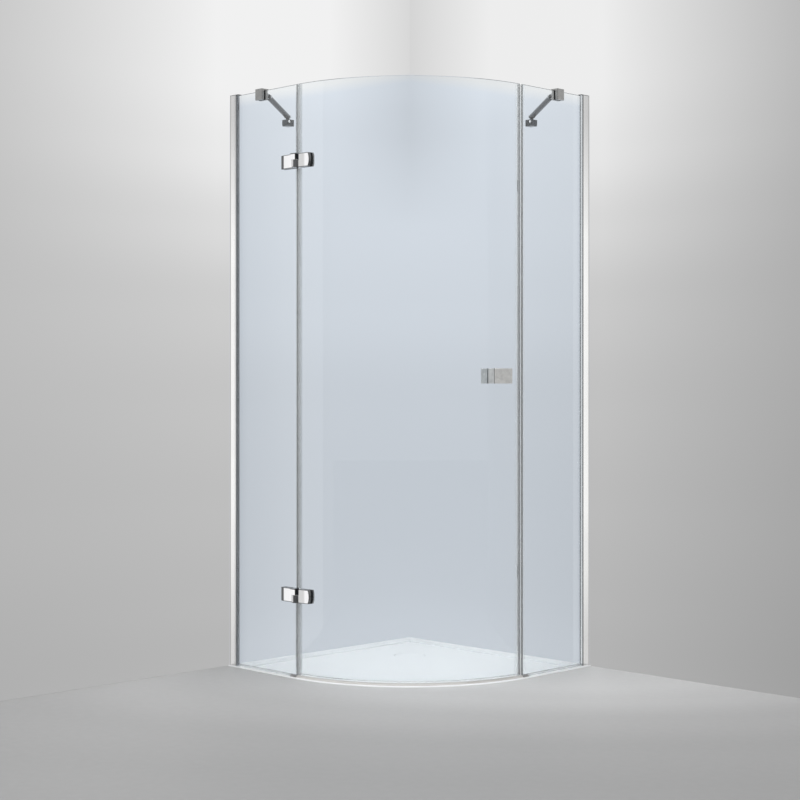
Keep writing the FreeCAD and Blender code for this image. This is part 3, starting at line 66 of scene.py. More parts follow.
def pieceSpace(tree, stretch=(1, 1, 1)):
    place = addNode(tree, "ShaderNodeTexCoord")
    mapping = addNode(tree, "ShaderNodeMapping")
    mapping.inputs["Scale"].default_value = stretch
    plug(tree, place.outputs["Object"], mapping.inputs["Vector"])
    return mapping.outputs["Vector"]


def partsOf(tree, kind="Object"):
    # X, Y and Z of a texture coordinate
    place = addNode(tree, "ShaderNodeTexCoord")
    split = addNode(tree, "ShaderNodeSeparateXYZ")
    plug(tree, place.outputs[kind], split.inputs["Vector"])
    return split.outputs


def reckon(tree, operation, *values):
    # one step of arithmetic on numbers or sockets
    step = addNode(tree, "ShaderNodeMath", operation=operation)
    for socket, value in zip(step.inputs, values):
        if isinstance(value, (int, float)):
            socket.default_value = value
        else:
            plug(tree, value, socket)
    return step.outputs[0]


def vectorStep(tree, operation, vector, constant=None, result="Vector"):
    step = addNode(tree, "ShaderNodeVectorMath", operation=operation)
    plug(tree, vector, step.inputs[0])
    if constant:
        step.inputs[1].default_value = constant
    return step.outputs[result]


def noiseOn(tree, vector, scale, detail=3.0, roughness=0.5):
    noise = addNode(tree, "ShaderNodeTexNoise")
    noise.inputs["Scale"].default_value = scale
    noise.inputs["Detail"].default_value = detail
    noise.inputs["Roughness"].default_value = roughness
    plug(tree, vector, noise.inputs["Vector"])
    return noise.outputs["Fac"]


def spread(tree, value, low, high, fromLow=0.3, fromHigh=0.7):
    ranged = addNode(tree, "ShaderNodeMapRange")
    ranged.inputs["From Min"].default_value = fromLow
    ranged.inputs["From Max"].default_value = fromHigh
    ranged.inputs["To Min"].default_value = low
    ranged.inputs["To Max"].default_value = high
    plug(tree, value, ranged.inputs["Value"])
    return ranged.outputs["Result"]


def mixColours(tree, factor, first, second, blend="MIX"):
    mix = addNode(tree, "ShaderNodeMix", data_type="RGBA", blend_type=blend)
    for socket, value in ((mix.inputs[6], first), (mix.inputs[7], second)):
        if isinstance(value, tuple):
            socket.default_value = (*value, 1)
        else:
            plug(tree, value, socket)
    if isinstance(factor, (int, float)):
        mix.inputs[0].default_value = factor
    else:
        plug(tree, factor, mix.inputs[0])
    return mix.outputs[2]


def bumpFrom(tree, shader, height, strength, distance):
    bump = addNode(tree, "ShaderNodeBump")
    bump.inputs["Strength"].default_value = strength
    bump.inputs["Distance"].default_value = distance
    plug(tree, height, bump.inputs["Height"])
    plug(tree, bump.outputs["Normal"], shader.inputs["Normal"])


def tone(red, green, blue):
    # a screen colour from 0 to 255 as a linear one
    return tuple((c / 255 / 12.92) if c < 11 else ((c / 255 + 0.055) / 1.055) ** 2.4
                 for c in (red, green, blue))


# finishes

def baseFinish(name, look):
    # moulded or extruded matter: two close colours, a grain in the gloss and a fine bump
    material, tree, shader, output = newMaterial(name)
    broad = noiseOn(tree, pieceSpace(tree), look["cloud"], detail=4)
    fine = noiseOn(tree, pieceSpace(tree, look.get("stretch", (1, 1, 1))), look["grain"],
                   detail=5, roughness=0.6)
    plug(tree, mixColours(tree, spread(tree, broad, 0, 1), look["colour"], look["second"]),
         shader.inputs["Base Color"])
    plug(tree, spread(tree, fine, *look["roughness"]), shader.inputs["Roughness"])
    bumpFrom(tree, shader, fine, look["bump"], look["depth"])
    shader.inputs["Metallic"].default_value = look.get("metallic", 0.0)
    shader.inputs["Alpha"].default_value = look.get("alpha", 1.0)
    shader.inputs["Specular IOR Level"].default_value = look.get("specular", 0.5)
    return material, tree, shader, output


def plainFinish(name, look):
    return baseFinish(name, look)[0]


def paintedLightMetal(name, look):
    # polished metal with painted light and shade: the flat faces that the leaf shows are bright, its
    # bevels and edges dark
    material, tree, shader, _ = newMaterial(name)
    place = addNode(tree, "ShaderNodeTexCoord")
    along = vectorStep(tree, "DOT_PRODUCT", place.outputs["Normal"], look["facing"], "Value")
    shown = spread(tree, reckon(tree, "ABSOLUTE", along), 0, 1, *look["turn"])
    grain = noiseOn(tree, pieceSpace(tree, look["stretch"]), look["grain"], detail=4, roughness=0.6)
    smudge = noiseOn(tree, pieceSpace(tree), look["cloud"])
    face = mixColours(tree, spread(tree, grain, 0, 1), look["colour"], look["second"])
    where = partsOf(tree)
    # painted reflection: a grey strip across the faces on the door leaf's part
    greyReflectionMask = reckon(tree, "MULTIPLY", spread(tree, where["X"], 1, 0, *look["greyTo"]),
                        spread(tree, where["X"], 0, 1, *look["greyFrom"]))
    face = mixColours(tree, greyReflectionMask, face, look["greyReflectionTone"])
    # painted shade: dark lip lines at set heights from each hinge's middle
    for middle in look["middles"]:
        apart = reckon(tree, "ABSOLUTE", reckon(tree, "SUBTRACT", where["Z"], middle))
        lip = reckon(tree, "MULTIPLY", spread(tree, apart, 0, 1, *look["lip"]),
                     spread(tree, apart, 1, 0, *look["lipEnd"]))
        face = mixColours(tree, lip, face, look["edge"])
    # painted shade: bevels and edges that turn away from the facing direction take the dark edge colour
    plug(tree, mixColours(tree, shown, look["edge"], face), shader.inputs["Base Color"])
    plug(tree, spread(tree, smudge, *look["roughness"]), shader.inputs["Roughness"])
    bumpFrom(tree, shader, grain, look["bump"], look["depth"])
    shader.inputs["Metallic"].default_value = 1.0
    return material


# the wall's place, the softness of the painted shadow line, and the heights of the painted reflection
# tone at top and foot
profileTones = dict(wall=0.45, softness=0.0006, top=(1.55, 1.95), foot=(0.12, 0.56), footShare=0.8)


def profileMetal(name, look):
    # anodised profile: a painted shadow line at the wall or at the sleeve's end, and a painted
    # reflection tone, greyer at top and foot
    material, tree, shader, _ = baseFinish(name, look)
    plain = shader.inputs["Base Color"].links[0].from_socket
    where = partsOf(tree)
    nearest = reckon(tree, "MINIMUM", reckon(tree, "ADD", where["X"], profileTones["wall"]),
                     reckon(tree, "SUBTRACT", profileTones["wall"], where["Y"]))
    inner, outer = look["shadowLine"]
    softness = profileTones["softness"]
    # painted shadow line by the wall, or at the sleeve's end
    shadowLine = spread(tree, nearest, look["shadowLineAmount"], 0, outer - softness, outer)
    if inner > 0:
        shadowLine = reckon(tree, "MULTIPLY", shadowLine, spread(tree, nearest, 0, 1, inner, inner + softness))
    # painted reflection tone, greyer at top and foot
    top = spread(tree, where["Z"], 0, look["reflectionAmount"], *profileTones["top"])
    foot = spread(tree, where["Z"], look["reflectionAmount"] * profileTones["footShare"], 0,
                  *profileTones["foot"])
    reflectionToned = mixColours(tree, top, plain, look["reflectionTone"])
    reflectionToned = mixColours(tree, foot, reflectionToned, look["reflectionTone"])
    plug(tree, mixColours(tree, shadowLine, reflectionToned, look["shadowLineTone"]), shader.inputs["Base Color"])
    return material


def lampPassage(tree, shader, output, tint):
    # lamp light goes through with a tint, and the eye sees the surface's own shader
    lampPath = addNode(tree, "ShaderNodeLightPath")
    passed = addNode(tree, "ShaderNodeBsdfTransparent")
    passed.inputs["Color"].default_value = (*tint, 1)
    choose = addNode(tree, "ShaderNodeMixShader")
    plug(tree, lampPath.outputs["Is Shadow Ray"], choose.inputs[0])
    plug(tree, shader.outputs["BSDF"], choose.inputs[1])
    plug(tree, passed.outputs["BSDF"], choose.inputs[2])
    plug(tree, choose.outputs["Shader"], output.inputs["Surface"])


def clearSeal(name, look):
    material, tree, shader, output = baseFinish(name, look)
    lampPassage(tree, shader, output, look["lampTint"])
    return material


def clearGlass(name, look):
    # toughened glass, with the faint bluish veil that it shows in front of a pale wall
    material, tree, shader, output = newMaterial(name)
    wave = noiseOn(tree, pieceSpace(tree), look["wave"], detail=2)
    plug(tree, mixColours(tree, spread(tree, wave, 0, 1), look["colour"], look["second"]),
         shader.inputs["Base Color"])
    wipe = noiseOn(tree, pieceSpace(tree, look["wipeStretch"]), look["wipe"], detail=4)
    plug(tree, spread(tree, wipe, *look["roughness"]), shader.inputs["Roughness"])
    shader.inputs["IOR"].default_value = look["ior"]
    shader.inputs["Transmission Weight"].default_value = look["transmission"]
    lampPassage(tree, shader, output, look["lampTint"])
    return material


def trayFinish(name, look):
    # moulded white, with painted light that keeps the upright faces of the recess as pale as its flat
    # ones
    material, tree, shader, _ = baseFinish(name, look)
    plain = shader.inputs["Base Color"].links[0].from_socket
    upright = spread(tree, partsOf(tree, "Normal")["Z"], 1, 0, *look["flat"])
    plug(tree, mixColours(tree, upright, plain, look["upright"]), shader.inputs["Base Color"])
    return material


def handleMetal(name, look):
    # brushed metal, with a painted shade band where its sides turn into the front
    material, tree, shader, _ = baseFinish(name, look)
    plain = shader.inputs["Base Color"].links[0].from_socket
    place = addNode(tree, "ShaderNodeTexCoord")
    moved = vectorStep(tree, "SUBTRACT", place.outputs["Object"], look["centre"])
    level = vectorStep(tree, "MULTIPLY", moved, (1, 1, 0))
    out = vectorStep(tree, "LENGTH", level, result="Value")
    shadeBand = reckon(tree, "MULTIPLY", spread(tree, out, 0, look["turnShadeAmount"], *look["turnFrom"]),
                  spread(tree, out, 1, 0, *look["turnTo"]))
    plug(tree, mixColours(tree, shadeBand, plain, look["turnShadeTone"]), shader.inputs["Base Color"])
    return material


# the tray's paler colour on upright faces is painted light
trayLook = dict(colour=(0.91, 0.92, 0.93), second=(0.89, 0.90, 0.91), cloud=2.2, grain=420,
                roughness=(0.26, 0.36), bump=0.05, depth=0.0003, specular=0.2,
                upright=(0.97, 0.98, 0.99), flat=(0.5, 0.98))
drainCoverLook = dict(colour=(0.91, 0.92, 0.93), second=(0.89, 0.90, 0.91), cloud=18, grain=600,
                      roughness=(0.26, 0.36), bump=0.05, depth=0.0002, specular=0.2)
drainLook = dict(colour=(0.50, 0.51, 0.52), second=(0.44, 0.45, 0.46), cloud=25, grain=900,
                 roughness=(0.4, 0.6), bump=0.15, depth=0.0003)
capLook = dict(colour=(0.10, 0.105, 0.11), second=(0.075, 0.08, 0.085), cloud=60, grain=1500,
               roughness=(0.4, 0.6), bump=0.2, depth=0.0002)
# the profile's dark line by the wall is a painted shadow, its greyer top and foot a painted reflection
wallProfileLook = dict(colour=(0.88, 0.88, 0.87), second=(0.82, 0.82, 0.815), cloud=6, grain=900,
                       stretch=(1, 1, 0.004), roughness=(0.22, 0.34), bump=0.08, depth=0.0002,
                       metallic=1.0, shadowLine=(0, 0.0042), shadowLineAmount=0.75, shadowLineTone=(0.28, 0.27, 0.26),
                       reflectionTone=(0.50, 0.50, 0.50), reflectionAmount=0.85)
# painted dark reflection: the left glazing profile is a darker metal than the right one
glazingProfileLook = dict(colour=(0.50, 0.53, 0.56), second=(0.42, 0.45, 0.48), cloud=5, grain=900,
                          stretch=(1, 1, 0.004), roughness=(0.12, 0.22), bump=0.05, depth=0.0002,
                          metallic=1.0)
# the right profile's dark line at the sleeve's end is a painted shadow, its greyer top and foot a
# painted reflection
rightGlazingLook = dict(glazingProfileLook, colour=(0.62, 0.65, 0.67), second=(0.56, 0.59, 0.61),
                        metallic=0.8, shadowLine=(0.0295, 0.0352), shadowLineAmount=0.95,
                        shadowLineTone=(0.05, 0.05, 0.055), reflectionTone=(0.6, 0.63, 0.65), reflectionAmount=0.3)
thresholdLook = dict(colour=(0.75, 0.73, 0.71), second=(0.68, 0.66, 0.64), cloud=12, grain=300,
                     stretch=(0.1, 0.1, 1), roughness=(0.36, 0.46), bump=0.04, depth=0.0001,
                     metallic=0.6)
thresholdCapLook = dict(colour=(0.30, 0.29, 0.285), second=(0.23, 0.225, 0.22), cloud=60, grain=900,
                        roughness=(0.3, 0.45), bump=0.15, depth=0.0002, metallic=0.4)
gasketLook = dict(colour=(0.016, 0.018, 0.02), second=(0.03, 0.032, 0.035), cloud=40, grain=1200,
                  roughness=(0.5, 0.75), bump=0.2, depth=0.0002)
paleGasketLook = dict(colour=(0.30, 0.315, 0.33), second=(0.24, 0.25, 0.265), cloud=40, grain=1200,
                      roughness=(0.4, 0.6), bump=0.2, depth=0.0002)
doorMagnetLook = dict(colour=(0.38, 0.39, 0.40), second=(0.32, 0.33, 0.34), cloud=30, grain=900,
                      stretch=(1, 1, 0.02), roughness=(0.4, 0.6), bump=0.15, depth=0.0002,
                      alpha=0.28, lampTint=(0.8, 0.82, 0.82))
fixedMagnetLook = dict(colour=(0.93, 0.95, 0.96), second=(0.90, 0.92, 0.93), cloud=30, grain=900,
                       stretch=(1, 1, 0.02), roughness=(0.1, 0.2), bump=0.05, depth=0.0002,
                       alpha=0.13, lampTint=(0.9, 0.92, 0.92))
clearSealLook = dict(colour=(0.955, 0.975, 0.98), second=(0.93, 0.95, 0.955), cloud=8, grain=800,
                     stretch=(1, 1, 0.01), roughness=(0.04, 0.1), bump=0.03, depth=0.0002,
                     alpha=0.09, lampTint=(0.9, 0.92, 0.92))
hingeSealLook = dict(colour=(0.60, 0.62, 0.63), second=(0.54, 0.56, 0.57), cloud=8, grain=800,
                     stretch=(1, 1, 0.01), roughness=(0.1, 0.2), bump=0.03, depth=0.0002,
                     alpha=0.26, lampTint=(0.8, 0.82, 0.82))
greySealLook = dict(colour=(0.80, 0.83, 0.835), second=(0.74, 0.765, 0.77), cloud=8, grain=800,
                    stretch=(1, 1, 0.01), roughness=(0.2, 0.35), bump=0.1, depth=0.0002,
                    alpha=0.34, lampTint=(0.8, 0.82, 0.82))
nylonLook = dict(colour=(0.76, 0.76, 0.73), second=(0.68, 0.68, 0.65), cloud=60, grain=1500,
                 roughness=(0.35, 0.5), bump=0.1, depth=0.0002)
steelLook = dict(colour=(0.62, 0.62, 0.61), second=(0.50, 0.50, 0.50), cloud=40, grain=1800,
                 roughness=(0.2, 0.34), bump=0.1, depth=0.0001, metallic=1.0)
# the studs' pale tone is partly a painted highlight
studLook = dict(colour=(0.95, 0.95, 0.96), second=(0.88, 0.88, 0.90), cloud=60, grain=1800,
                roughness=(0.2, 0.3), bump=0.04, depth=0.0001, metallic=0.6)
# painted dark reflection: the brace bars are a metal far darker than steel
braceBarLook = dict(colour=(0.022, 0.027, 0.032), second=(0.015, 0.018, 0.022), cloud=25, grain=1500,
                    roughness=(0.16, 0.28), bump=0.06, depth=0.0001, metallic=1.0)
braceBlockLook = dict(colour=(0.42, 0.42, 0.41), second=(0.33, 0.33, 0.33), cloud=45, grain=700,
                      stretch=(0.15, 0.15, 2.5), roughness=(0.22, 0.34), bump=0.1, depth=0.0002,
                      metallic=1.0)
# painted dark reflection: the bracket feet are a metal far darker than steel
braceFootLook = dict(colour=(0.05, 0.057, 0.065), second=(0.035, 0.04, 0.046), cloud=40, grain=1500,
                     roughness=(0.08, 0.16), bump=0.05, depth=0.0001, metallic=1.0)
# the hinge's bright faces, grey strip, dark edges and lip lines are painted light and shade
hingeLook = dict(facing=(0.04, -0.999, 0), turn=(0.985, 0.993), greyFrom=(-0.086, -0.085),
                 greyTo=(-0.058, -0.050), greyReflectionTone=(0.62, 0.62, 0.62), middles=(1.765, 0.305),
                 lip=(0.0208, 0.0212), lipEnd=(0.04, 0.05), colour=(0.90, 0.90, 0.91),
                 second=(0.84, 0.84, 0.85), edge=(0.18, 0.185, 0.19), stretch=(1, 1, 0.05),
                 grain=500, cloud=30, roughness=(0.04, 0.11), bump=0.03, depth=0.0001)
barrelLook = dict(colour=(0.50, 0.50, 0.51), second=(0.42, 0.42, 0.43), cloud=60, grain=900,
                  roughness=(0.05, 0.12), bump=0.03, depth=0.0001, metallic=1.0)
# the handle's dark turn band is painted shade
handleLook = dict(colour=(0.84, 0.84, 0.82), second=(0.64, 0.64, 0.63), cloud=60, grain=260,
                  stretch=(0.05, 0.05, 0.9), roughness=(0.26, 0.4), bump=0.12, depth=0.0002,
                  metallic=0.45, centre=(-0.1, 0.1, 0), turnFrom=(0.5665, 0.5675),
                  turnTo=(0.5715, 0.572), turnShadeAmount=0.8, turnShadeTone=(0.2, 0.19, 0.18))
glassLook = dict(colour=(0.955, 0.982, 0.995), second=(0.945, 0.975, 0.99), wave=1.4, wipe=9,
                wipeStretch=(1, 1, 0.25), ior=1.52,
                 roughness=(0.0, 0.02), transmission=0.995, lampTint=(0.93, 0.96, 0.97))

finishes = {
    "trayWhite": trayFinish("trayWhite", trayLook),
    "drainCoverWhite": plainFinish("drainCoverWhite", drainCoverLook),
    "drainPlastic": plainFinish("drainPlastic", drainLook),
    "capPlastic": plainFinish("capPlastic", capLook),
    "wallProfileAluminium": profileMetal("wallProfileAluminium", wallProfileLook),
    "glazingProfileAluminium": plainFinish("glazingProfileAluminium", glazingProfileLook),
    "rightGlazingAluminium": profileMetal("rightGlazingAluminium", rightGlazingLook),
    "thresholdAluminium": plainFinish("thresholdAluminium", thresholdLook),
    "thresholdCap": plainFinish("thresholdCap", thresholdCapLook),
    # the dark rubber also serves as painted shade in the screws' sockets
    "gasketRubberAndSocketShade": plainFinish("gasketRubberAndSocketShade", gasketLook),
    "paleGasket": plainFinish("paleGasket", paleGasketLook),
    "doorMagnet": clearSeal("doorMagnet", doorMagnetLook),
    "fixedMagnet": clearSeal("fixedMagnet", fixedMagnetLook),
    "clearSeal": clearSeal("clearSeal", clearSealLook),
    "hingeSeal": clearSeal("hingeSeal", hingeSealLook),
    "greySeal": clearSeal("greySeal", greySealLook),
    "nylon": plainFinish("nylon", nylonLook),
    "screwSteel": plainFinish("screwSteel", steelLook),
    "studSteel": plainFinish("studSteel", studLook),
    "braceBarSteel": plainFinish("braceBarSteel", braceBarLook),
    "braceBlockSteel": plainFinish("braceBlockSteel", braceBlockLook),
    "braceFootSteel": plainFinish("braceFootSteel", braceFootLook),
    "hingeChrome": paintedLightMetal("hingeChrome", hingeLook),
    "barrelChrome": plainFinish("barrelChrome", barrelLook),
    "handleSteel": handleMetal("handleSteel", handleLook),
    "safetyGlass": clearGlass("safetyGlass", glassLook),
}

# which finish each piece has: the first words of its name that match
finishOf = (
    ("shower_tray", "trayWhite"), ("drain_cover", "drainCoverWhite"), ("drain_body", "drainPlastic"),
    ("drain_seal", "gasketRubberAndSocketShade"), ("left_wall_profile", "wallProfileAluminium"),
    ("right_wall_profile", "wallProfileAluminium"), ("left_glazing_profile", "glazingProfileAluminium"),
    ("right_glazing_profile", "rightGlazingAluminium"), ("left_glazing_gasket", "paleGasket"),
    ("right_glazing_gasket", "paleGasket"), ("left_profile_cap", "capPlastic"),
    ("right_profile_cap", "capPlastic"), ("profile_lock_screws", "screwSteel"),
    ("left_fixed_glass", "safetyGlass"), ("right_fixed_glass", "safetyGlass"),
    ("door_glass", "safetyGlass"), ("left_bottom_seal", "greySeal"), ("right_bottom_seal", "greySeal"),
    ("threshold_strip", "thresholdAluminium"), ("left_threshold_cap", "thresholdCap"),
    ("right_threshold_cap", "thresholdCap"), ("fixed_edge_seal", "clearSeal"),
    ("fixed_magnet_strip", "clearSeal"), ("fixed_magnet_bar", "fixedMagnet"),
    ("door_hinge_seal", "hingeSeal"), ("door_magnet_strip", "clearSeal"),
    ("door_magnet_bar", "doorMagnet"), ("door_bottom_seal", "clearSeal"),
    ("hinge_fixed_screws", "screwSteel"), ("hinge_door_screws", "screwSteel"),
    ("hinge_fixed_gaskets", "gasketRubberAndSocketShade"), ("hinge_door_gaskets", "gasketRubberAndSocketShade"),
    ("outer_handle", "handleSteel"), ("inner_handle", "handleSteel"), ("handle_gaskets", "paleGasket"),
    ("handle_screws", "screwSteel"), ("left_brace_clamp", "braceBlockSteel"),
    ("right_brace_clamp", "braceBlockSteel"), ("left_clamp_pads", "gasketRubberAndSocketShade"),
    ("right_clamp_pads", "gasketRubberAndSocketShade"), ("left_brace_bar", "braceBarSteel"),
    ("right_brace_bar", "braceBarSteel"), ("left_wall_bracket", "braceFootSteel"),
    ("right_wall_bracket", "braceFootSteel"), ("brace_pins", "screwSteel"),
    ("brace_grub_screws", "screwSteel"),
    ("upper_hinge_pin", "barrelChrome"), ("lower_hinge_pin", "barrelChrome"),
    ("upper_hinge_bush", "nylon"), ("lower_hinge_bush", "nylon"),
    ("upper_hinge", "hingeChrome"), ("lower_hinge", "hingeChrome"),
)

for pieceName, piece in nodes.items():
    finish = next(made for start, made in finishOf if pieceName.startswith(start))
    piece.data.materials.clear()
    piece.data.materials.append(finishes[finish])
print("finishes given to", len(nodes), "pieces")


# details that repeat, grown by geometry nodes

def growthTree(name, sizes):
    tree = bpy.data.node_groups.new(name, "GeometryNodeTree")
    for label, value in sizes.items():
        kind = {int: "NodeSocketInt", float: "NodeSocketFloat", tuple: "NodeSocketVector"}[type(value)]
        tree.interface.new_socket(label, in_out="INPUT", socket_type=kind).default_value = value
    tree.interface.new_socket("Grown", in_out="OUTPUT", socket_type="NodeSocketGeometry")
    given = addNode(tree, "NodeGroupInput")
    result = addNode(tree, "NodeGroupOutput")
    return tree, given, result


def endTree(tree, geometry, result, finish):
    real = addNode(tree, "GeometryNodeRealizeInstances")
    plug(tree, geometry, real.inputs["Geometry"])
    painted = addNode(tree, "GeometryNodeSetMaterial")
    painted.inputs["Material"].default_value = finishes[finish]
    plug(tree, real.outputs["Geometry"], painted.inputs["Geometry"])
    plug(tree, painted.outputs["Geometry"], result.inputs["Grown"])


def grow(name, tree, sizes, body, weld=1e-7):
    # the tree's result as a plain mesh of its own, with its faces outward
    host = newObject(name + "Host", bpy.data.meshes.new(name + "Host"))
    growth = host.modifiers.new("growth", "NODES")
    growth.node_group = tree
    for socket in tree.interface.items_tree:
        if socket.in_out == "INPUT" and socket.name in sizes:
            growth[socket.identifier] = sizes[socket.name]
    ready = host.evaluated_get(bpy.context.evaluated_depsgraph_get())
    mesh = bpy.data.meshes.new_from_object(ready)
    mesh.name = name
    host.modifiers.remove(growth)
    bpy.data.objects.remove(host)
    shell = bmesh.new()
    shell.from_mesh(mesh)
    bmesh.ops.remove_doubles(shell, verts=shell.verts, dist=weld)
    bmesh.ops.recalc_face_normals(shell, faces=shell.faces)
    shell.to_mesh(mesh)
    shell.free()
    made = newObject(name, mesh)
    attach(made, body)
    print(name, "grown:", len(mesh.polygons), "faces")


ribSizes = {"Arc radius": 0.53, "Start angle": math.radians(-86.4), "Sweep": math.radians(82.8),
            "Rib count": 4, "Rib step": 0.0026, "Rib width": 0.001, "Rib height": 0.0005,
            "Arc centre": (-0.1, 0.1, 0.036), "Arc steps": 72}


def ribTree():
    # a fan of small squares swept along the arc
    tree, given, result = growthTree("arcRibs", ribSizes)
    arc = addNode(tree, "GeometryNodeCurveArc")
    plug(tree, given.outputs["Arc steps"], arc.inputs["Resolution"])
    plug(tree, given.outputs["Arc radius"], arc.inputs["Radius"])
    plug(tree, given.outputs["Start angle"], arc.inputs["Start Angle"])
    plug(tree, given.outputs["Sweep"], arc.inputs["Sweep Angle"])
    level = addNode(tree, "GeometryNodeSetCurveNormal", mode="Z_UP")
    plug(tree, arc.outputs["Curve"], level.inputs["Curve"])
    square = addNode(tree, "GeometryNodeCurvePrimitiveQuadrilateral")
    plug(tree, given.outputs["Rib width"], square.inputs["Width"])
    plug(tree, given.outputs["Rib height"], square.inputs["Height"])
    step = addNode(tree, "ShaderNodeCombineXYZ")
    plug(tree, given.outputs["Rib step"], step.inputs["X"])
    # half the fan lies on each side of the arc
    gaps = reckon(tree, "MULTIPLY_ADD", given.outputs["Rib count"], -0.5, 0.5)
    first = addNode(tree, "ShaderNodeVectorMath", operation="SCALE")
    plug(tree, step.outputs["Vector"], first.inputs["Vector"])
    plug(tree, gaps, first.inputs["Scale"])
    line = addNode(tree, "GeometryNodeMeshLine")
    plug(tree, given.outputs["Rib count"], line.inputs["Count"])
    plug(tree, first.outputs["Vector"], line.inputs["Start Location"])
    plug(tree, step.outputs["Vector"], line.inputs["Offset"])
    fan = addNode(tree, "GeometryNodeInstanceOnPoints")
    plug(tree, line.outputs["Mesh"], fan.inputs["Points"])
    plug(tree, square.outputs["Curve"], fan.inputs["Instance"])
    section = addNode(tree, "GeometryNodeRealizeInstances")
    plug(tree, fan.outputs["Instances"], section.inputs["Geometry"])
    swept = addNode(tree, "GeometryNodeCurveToMesh")
    swept.inputs["Fill Caps"].default_value = True
    plug(tree, level.outputs["Curve"], swept.inputs["Curve"])
    plug(tree, section.outputs["Geometry"], swept.inputs["Profile Curve"])
    placed = addNode(tree, "GeometryNodeTransform")
    plug(tree, swept.outputs["Mesh"], placed.inputs["Geometry"])
    plug(tree, given.outputs["Arc centre"], placed.inputs["Translation"])
    endTree(tree, placed.outputs["Geometry"], result, "thresholdAluminium")
    return tree


grow("threshold_ribs", ribTree(), ribSizes, "enclosure")


def rowOf(tree, given, shape):
    # copies of a shape at Count places, Step apart, turned by Turn
    line = addNode(tree, "GeometryNodeMeshLine")
    for label, socket in (("Count", "Count"), ("First", "Start Location"), ("Step", "Offset")):
        plug(tree, given.outputs[label], line.inputs[socket])
    row = addNode(tree, "GeometryNodeInstanceOnPoints")
    plug(tree, line.outputs["Mesh"], row.inputs["Points"])
    plug(tree, shape, row.inputs["Instance"])
    plug(tree, given.outputs["Turn"], row.inputs["Rotation"])
    return row


socketSizes = {"Count": 3, "First": (-0.4335, -0.41655, 0.1775), "Step": (0.0, 0.0, 0.85),
               "Turn": (math.radians(90), 0.0, 0.0), "Radius": 0.0019, "Depth": 0.0004, "Sides": 6}


def socketTree(name):
    # a row of small dark prisms, each in the middle of a screw's head: painted shade standing in for
    # its hex socket
    tree, given, result = growthTree(name, socketSizes)
    prism = addNode(tree, "GeometryNodeMeshCylinder")
    plug(tree, given.outputs["Sides"], prism.inputs["Vertices"])
    plug(tree, given.outputs["Radius"], prism.inputs["Radius"])
    plug(tree, given.outputs["Depth"], prism.inputs["Depth"])
    row = rowOf(tree, given, prism.outputs["Mesh"])
    # the prisms take the dark rubber finish as painted shade
    endTree(tree, row.outputs["Instances"], result, "gasketRubberAndSocketShade")
    return tree


sockets = socketTree("screwSockets")
grow("left_lock_sockets", sockets, socketSizes, "enclosure")
grow("right_lock_sockets", sockets,
     {**socketSizes, "First": (0.41655, 0.4335, 0.1775), "Turn": (0.0, math.radians(90), 0.0)},
     "enclosure")

studSizes = {"Count": 1, "First": (-0.419, -0.1905, 1.961), "Step": (0.0, 0.0, 0.01),
             "Turn": (0.0, math.radians(90), 0.0), "Radius": 0.0048, "Flatness": 0.45,
             "Segments": 24, "Rings": 12}


def studTree():
    # round-headed polished studs in a row, pale partly as a painted highlight
    tree, given, result = growthTree("bracketStuds", studSizes)
    ball = addNode(tree, "GeometryNodeMeshUVSphere")
    for label in ("Segments", "Rings", "Radius"):
        plug(tree, given.outputs[label], ball.inputs[label])
    flat = addNode(tree, "ShaderNodeCombineXYZ")
    flat.inputs["X"].default_value = 1
    flat.inputs["Y"].default_value = 1
    plug(tree, given.outputs["Flatness"], flat.inputs["Z"])
    row = rowOf(tree, given, ball.outputs["Mesh"])
    plug(tree, flat.outputs["Vector"], row.inputs["Scale"])
    endTree(tree, row.outputs["Instances"], result, "studSteel")
    return tree


studs = studTree()
grow("left_bracket_stud", studs, studSizes, "enclosure")
grow("right_bracket_stud", studs,
     {**studSizes, "First": (0.1905, 0.419, 1.961), "Turn": (math.radians(90), 0.0, 0.0)},
     "enclosure")

# the brackets' lower skirts, round-edged
skirtSizes = dict(left=((-0.45, -0.1978, 1.9456), (-0.4192, -0.1667, 1.9532)),
                  right=((0.1667, 0.4192, 1.9456), (0.1978, 0.45, 1.9532)), edge=0.0018, steps=3)


def bracketSkirt(name, low, high):
    shell = bmesh.new()
    bmesh.ops.create_cube(shell, size=1.0)
    for corner in shell.verts:
        for axis in range(3):
            corner.co[axis] = low[axis] if corner.co[axis] < 0 else high[axis]
    bmesh.ops.bevel(shell, geom=shell.edges[:], offset=skirtSizes["edge"],
                    segments=skirtSizes["steps"], profile=0.5, affect="EDGES")
    mesh = bpy.data.meshes.new(name)
    shell.to_mesh(mesh)
    shell.free()
    made = newObject(name, mesh)
    mesh.materials.append(finishes["braceFootSteel"])
    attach(made, "enclosure")


bracketSkirt("left_bracket_skirt", *skirtSizes["left"])
bracketSkirt("right_bracket_skirt", *skirtSizes["right"])
print("repeating details made")


# the room: floor, two walls and what lights them; none of it belongs to the enclosure

roomSizes = dict(wallLeft=-0.4512, wallBack=0.4512, floorTop=0.0272, reach=2.4, height=3.4,
                 floorReach=16.0, cutDepth=-0.002, trayGap=0.0008, trayHalf=0.45, trayRound=0.55,
                 backOverlap=0.002)


def flatMesh(name, points, faces):
    mesh = bpy.data.meshes.new(name)
    mesh.from_pydata(points, [], faces)
    return newObject(name, mesh)


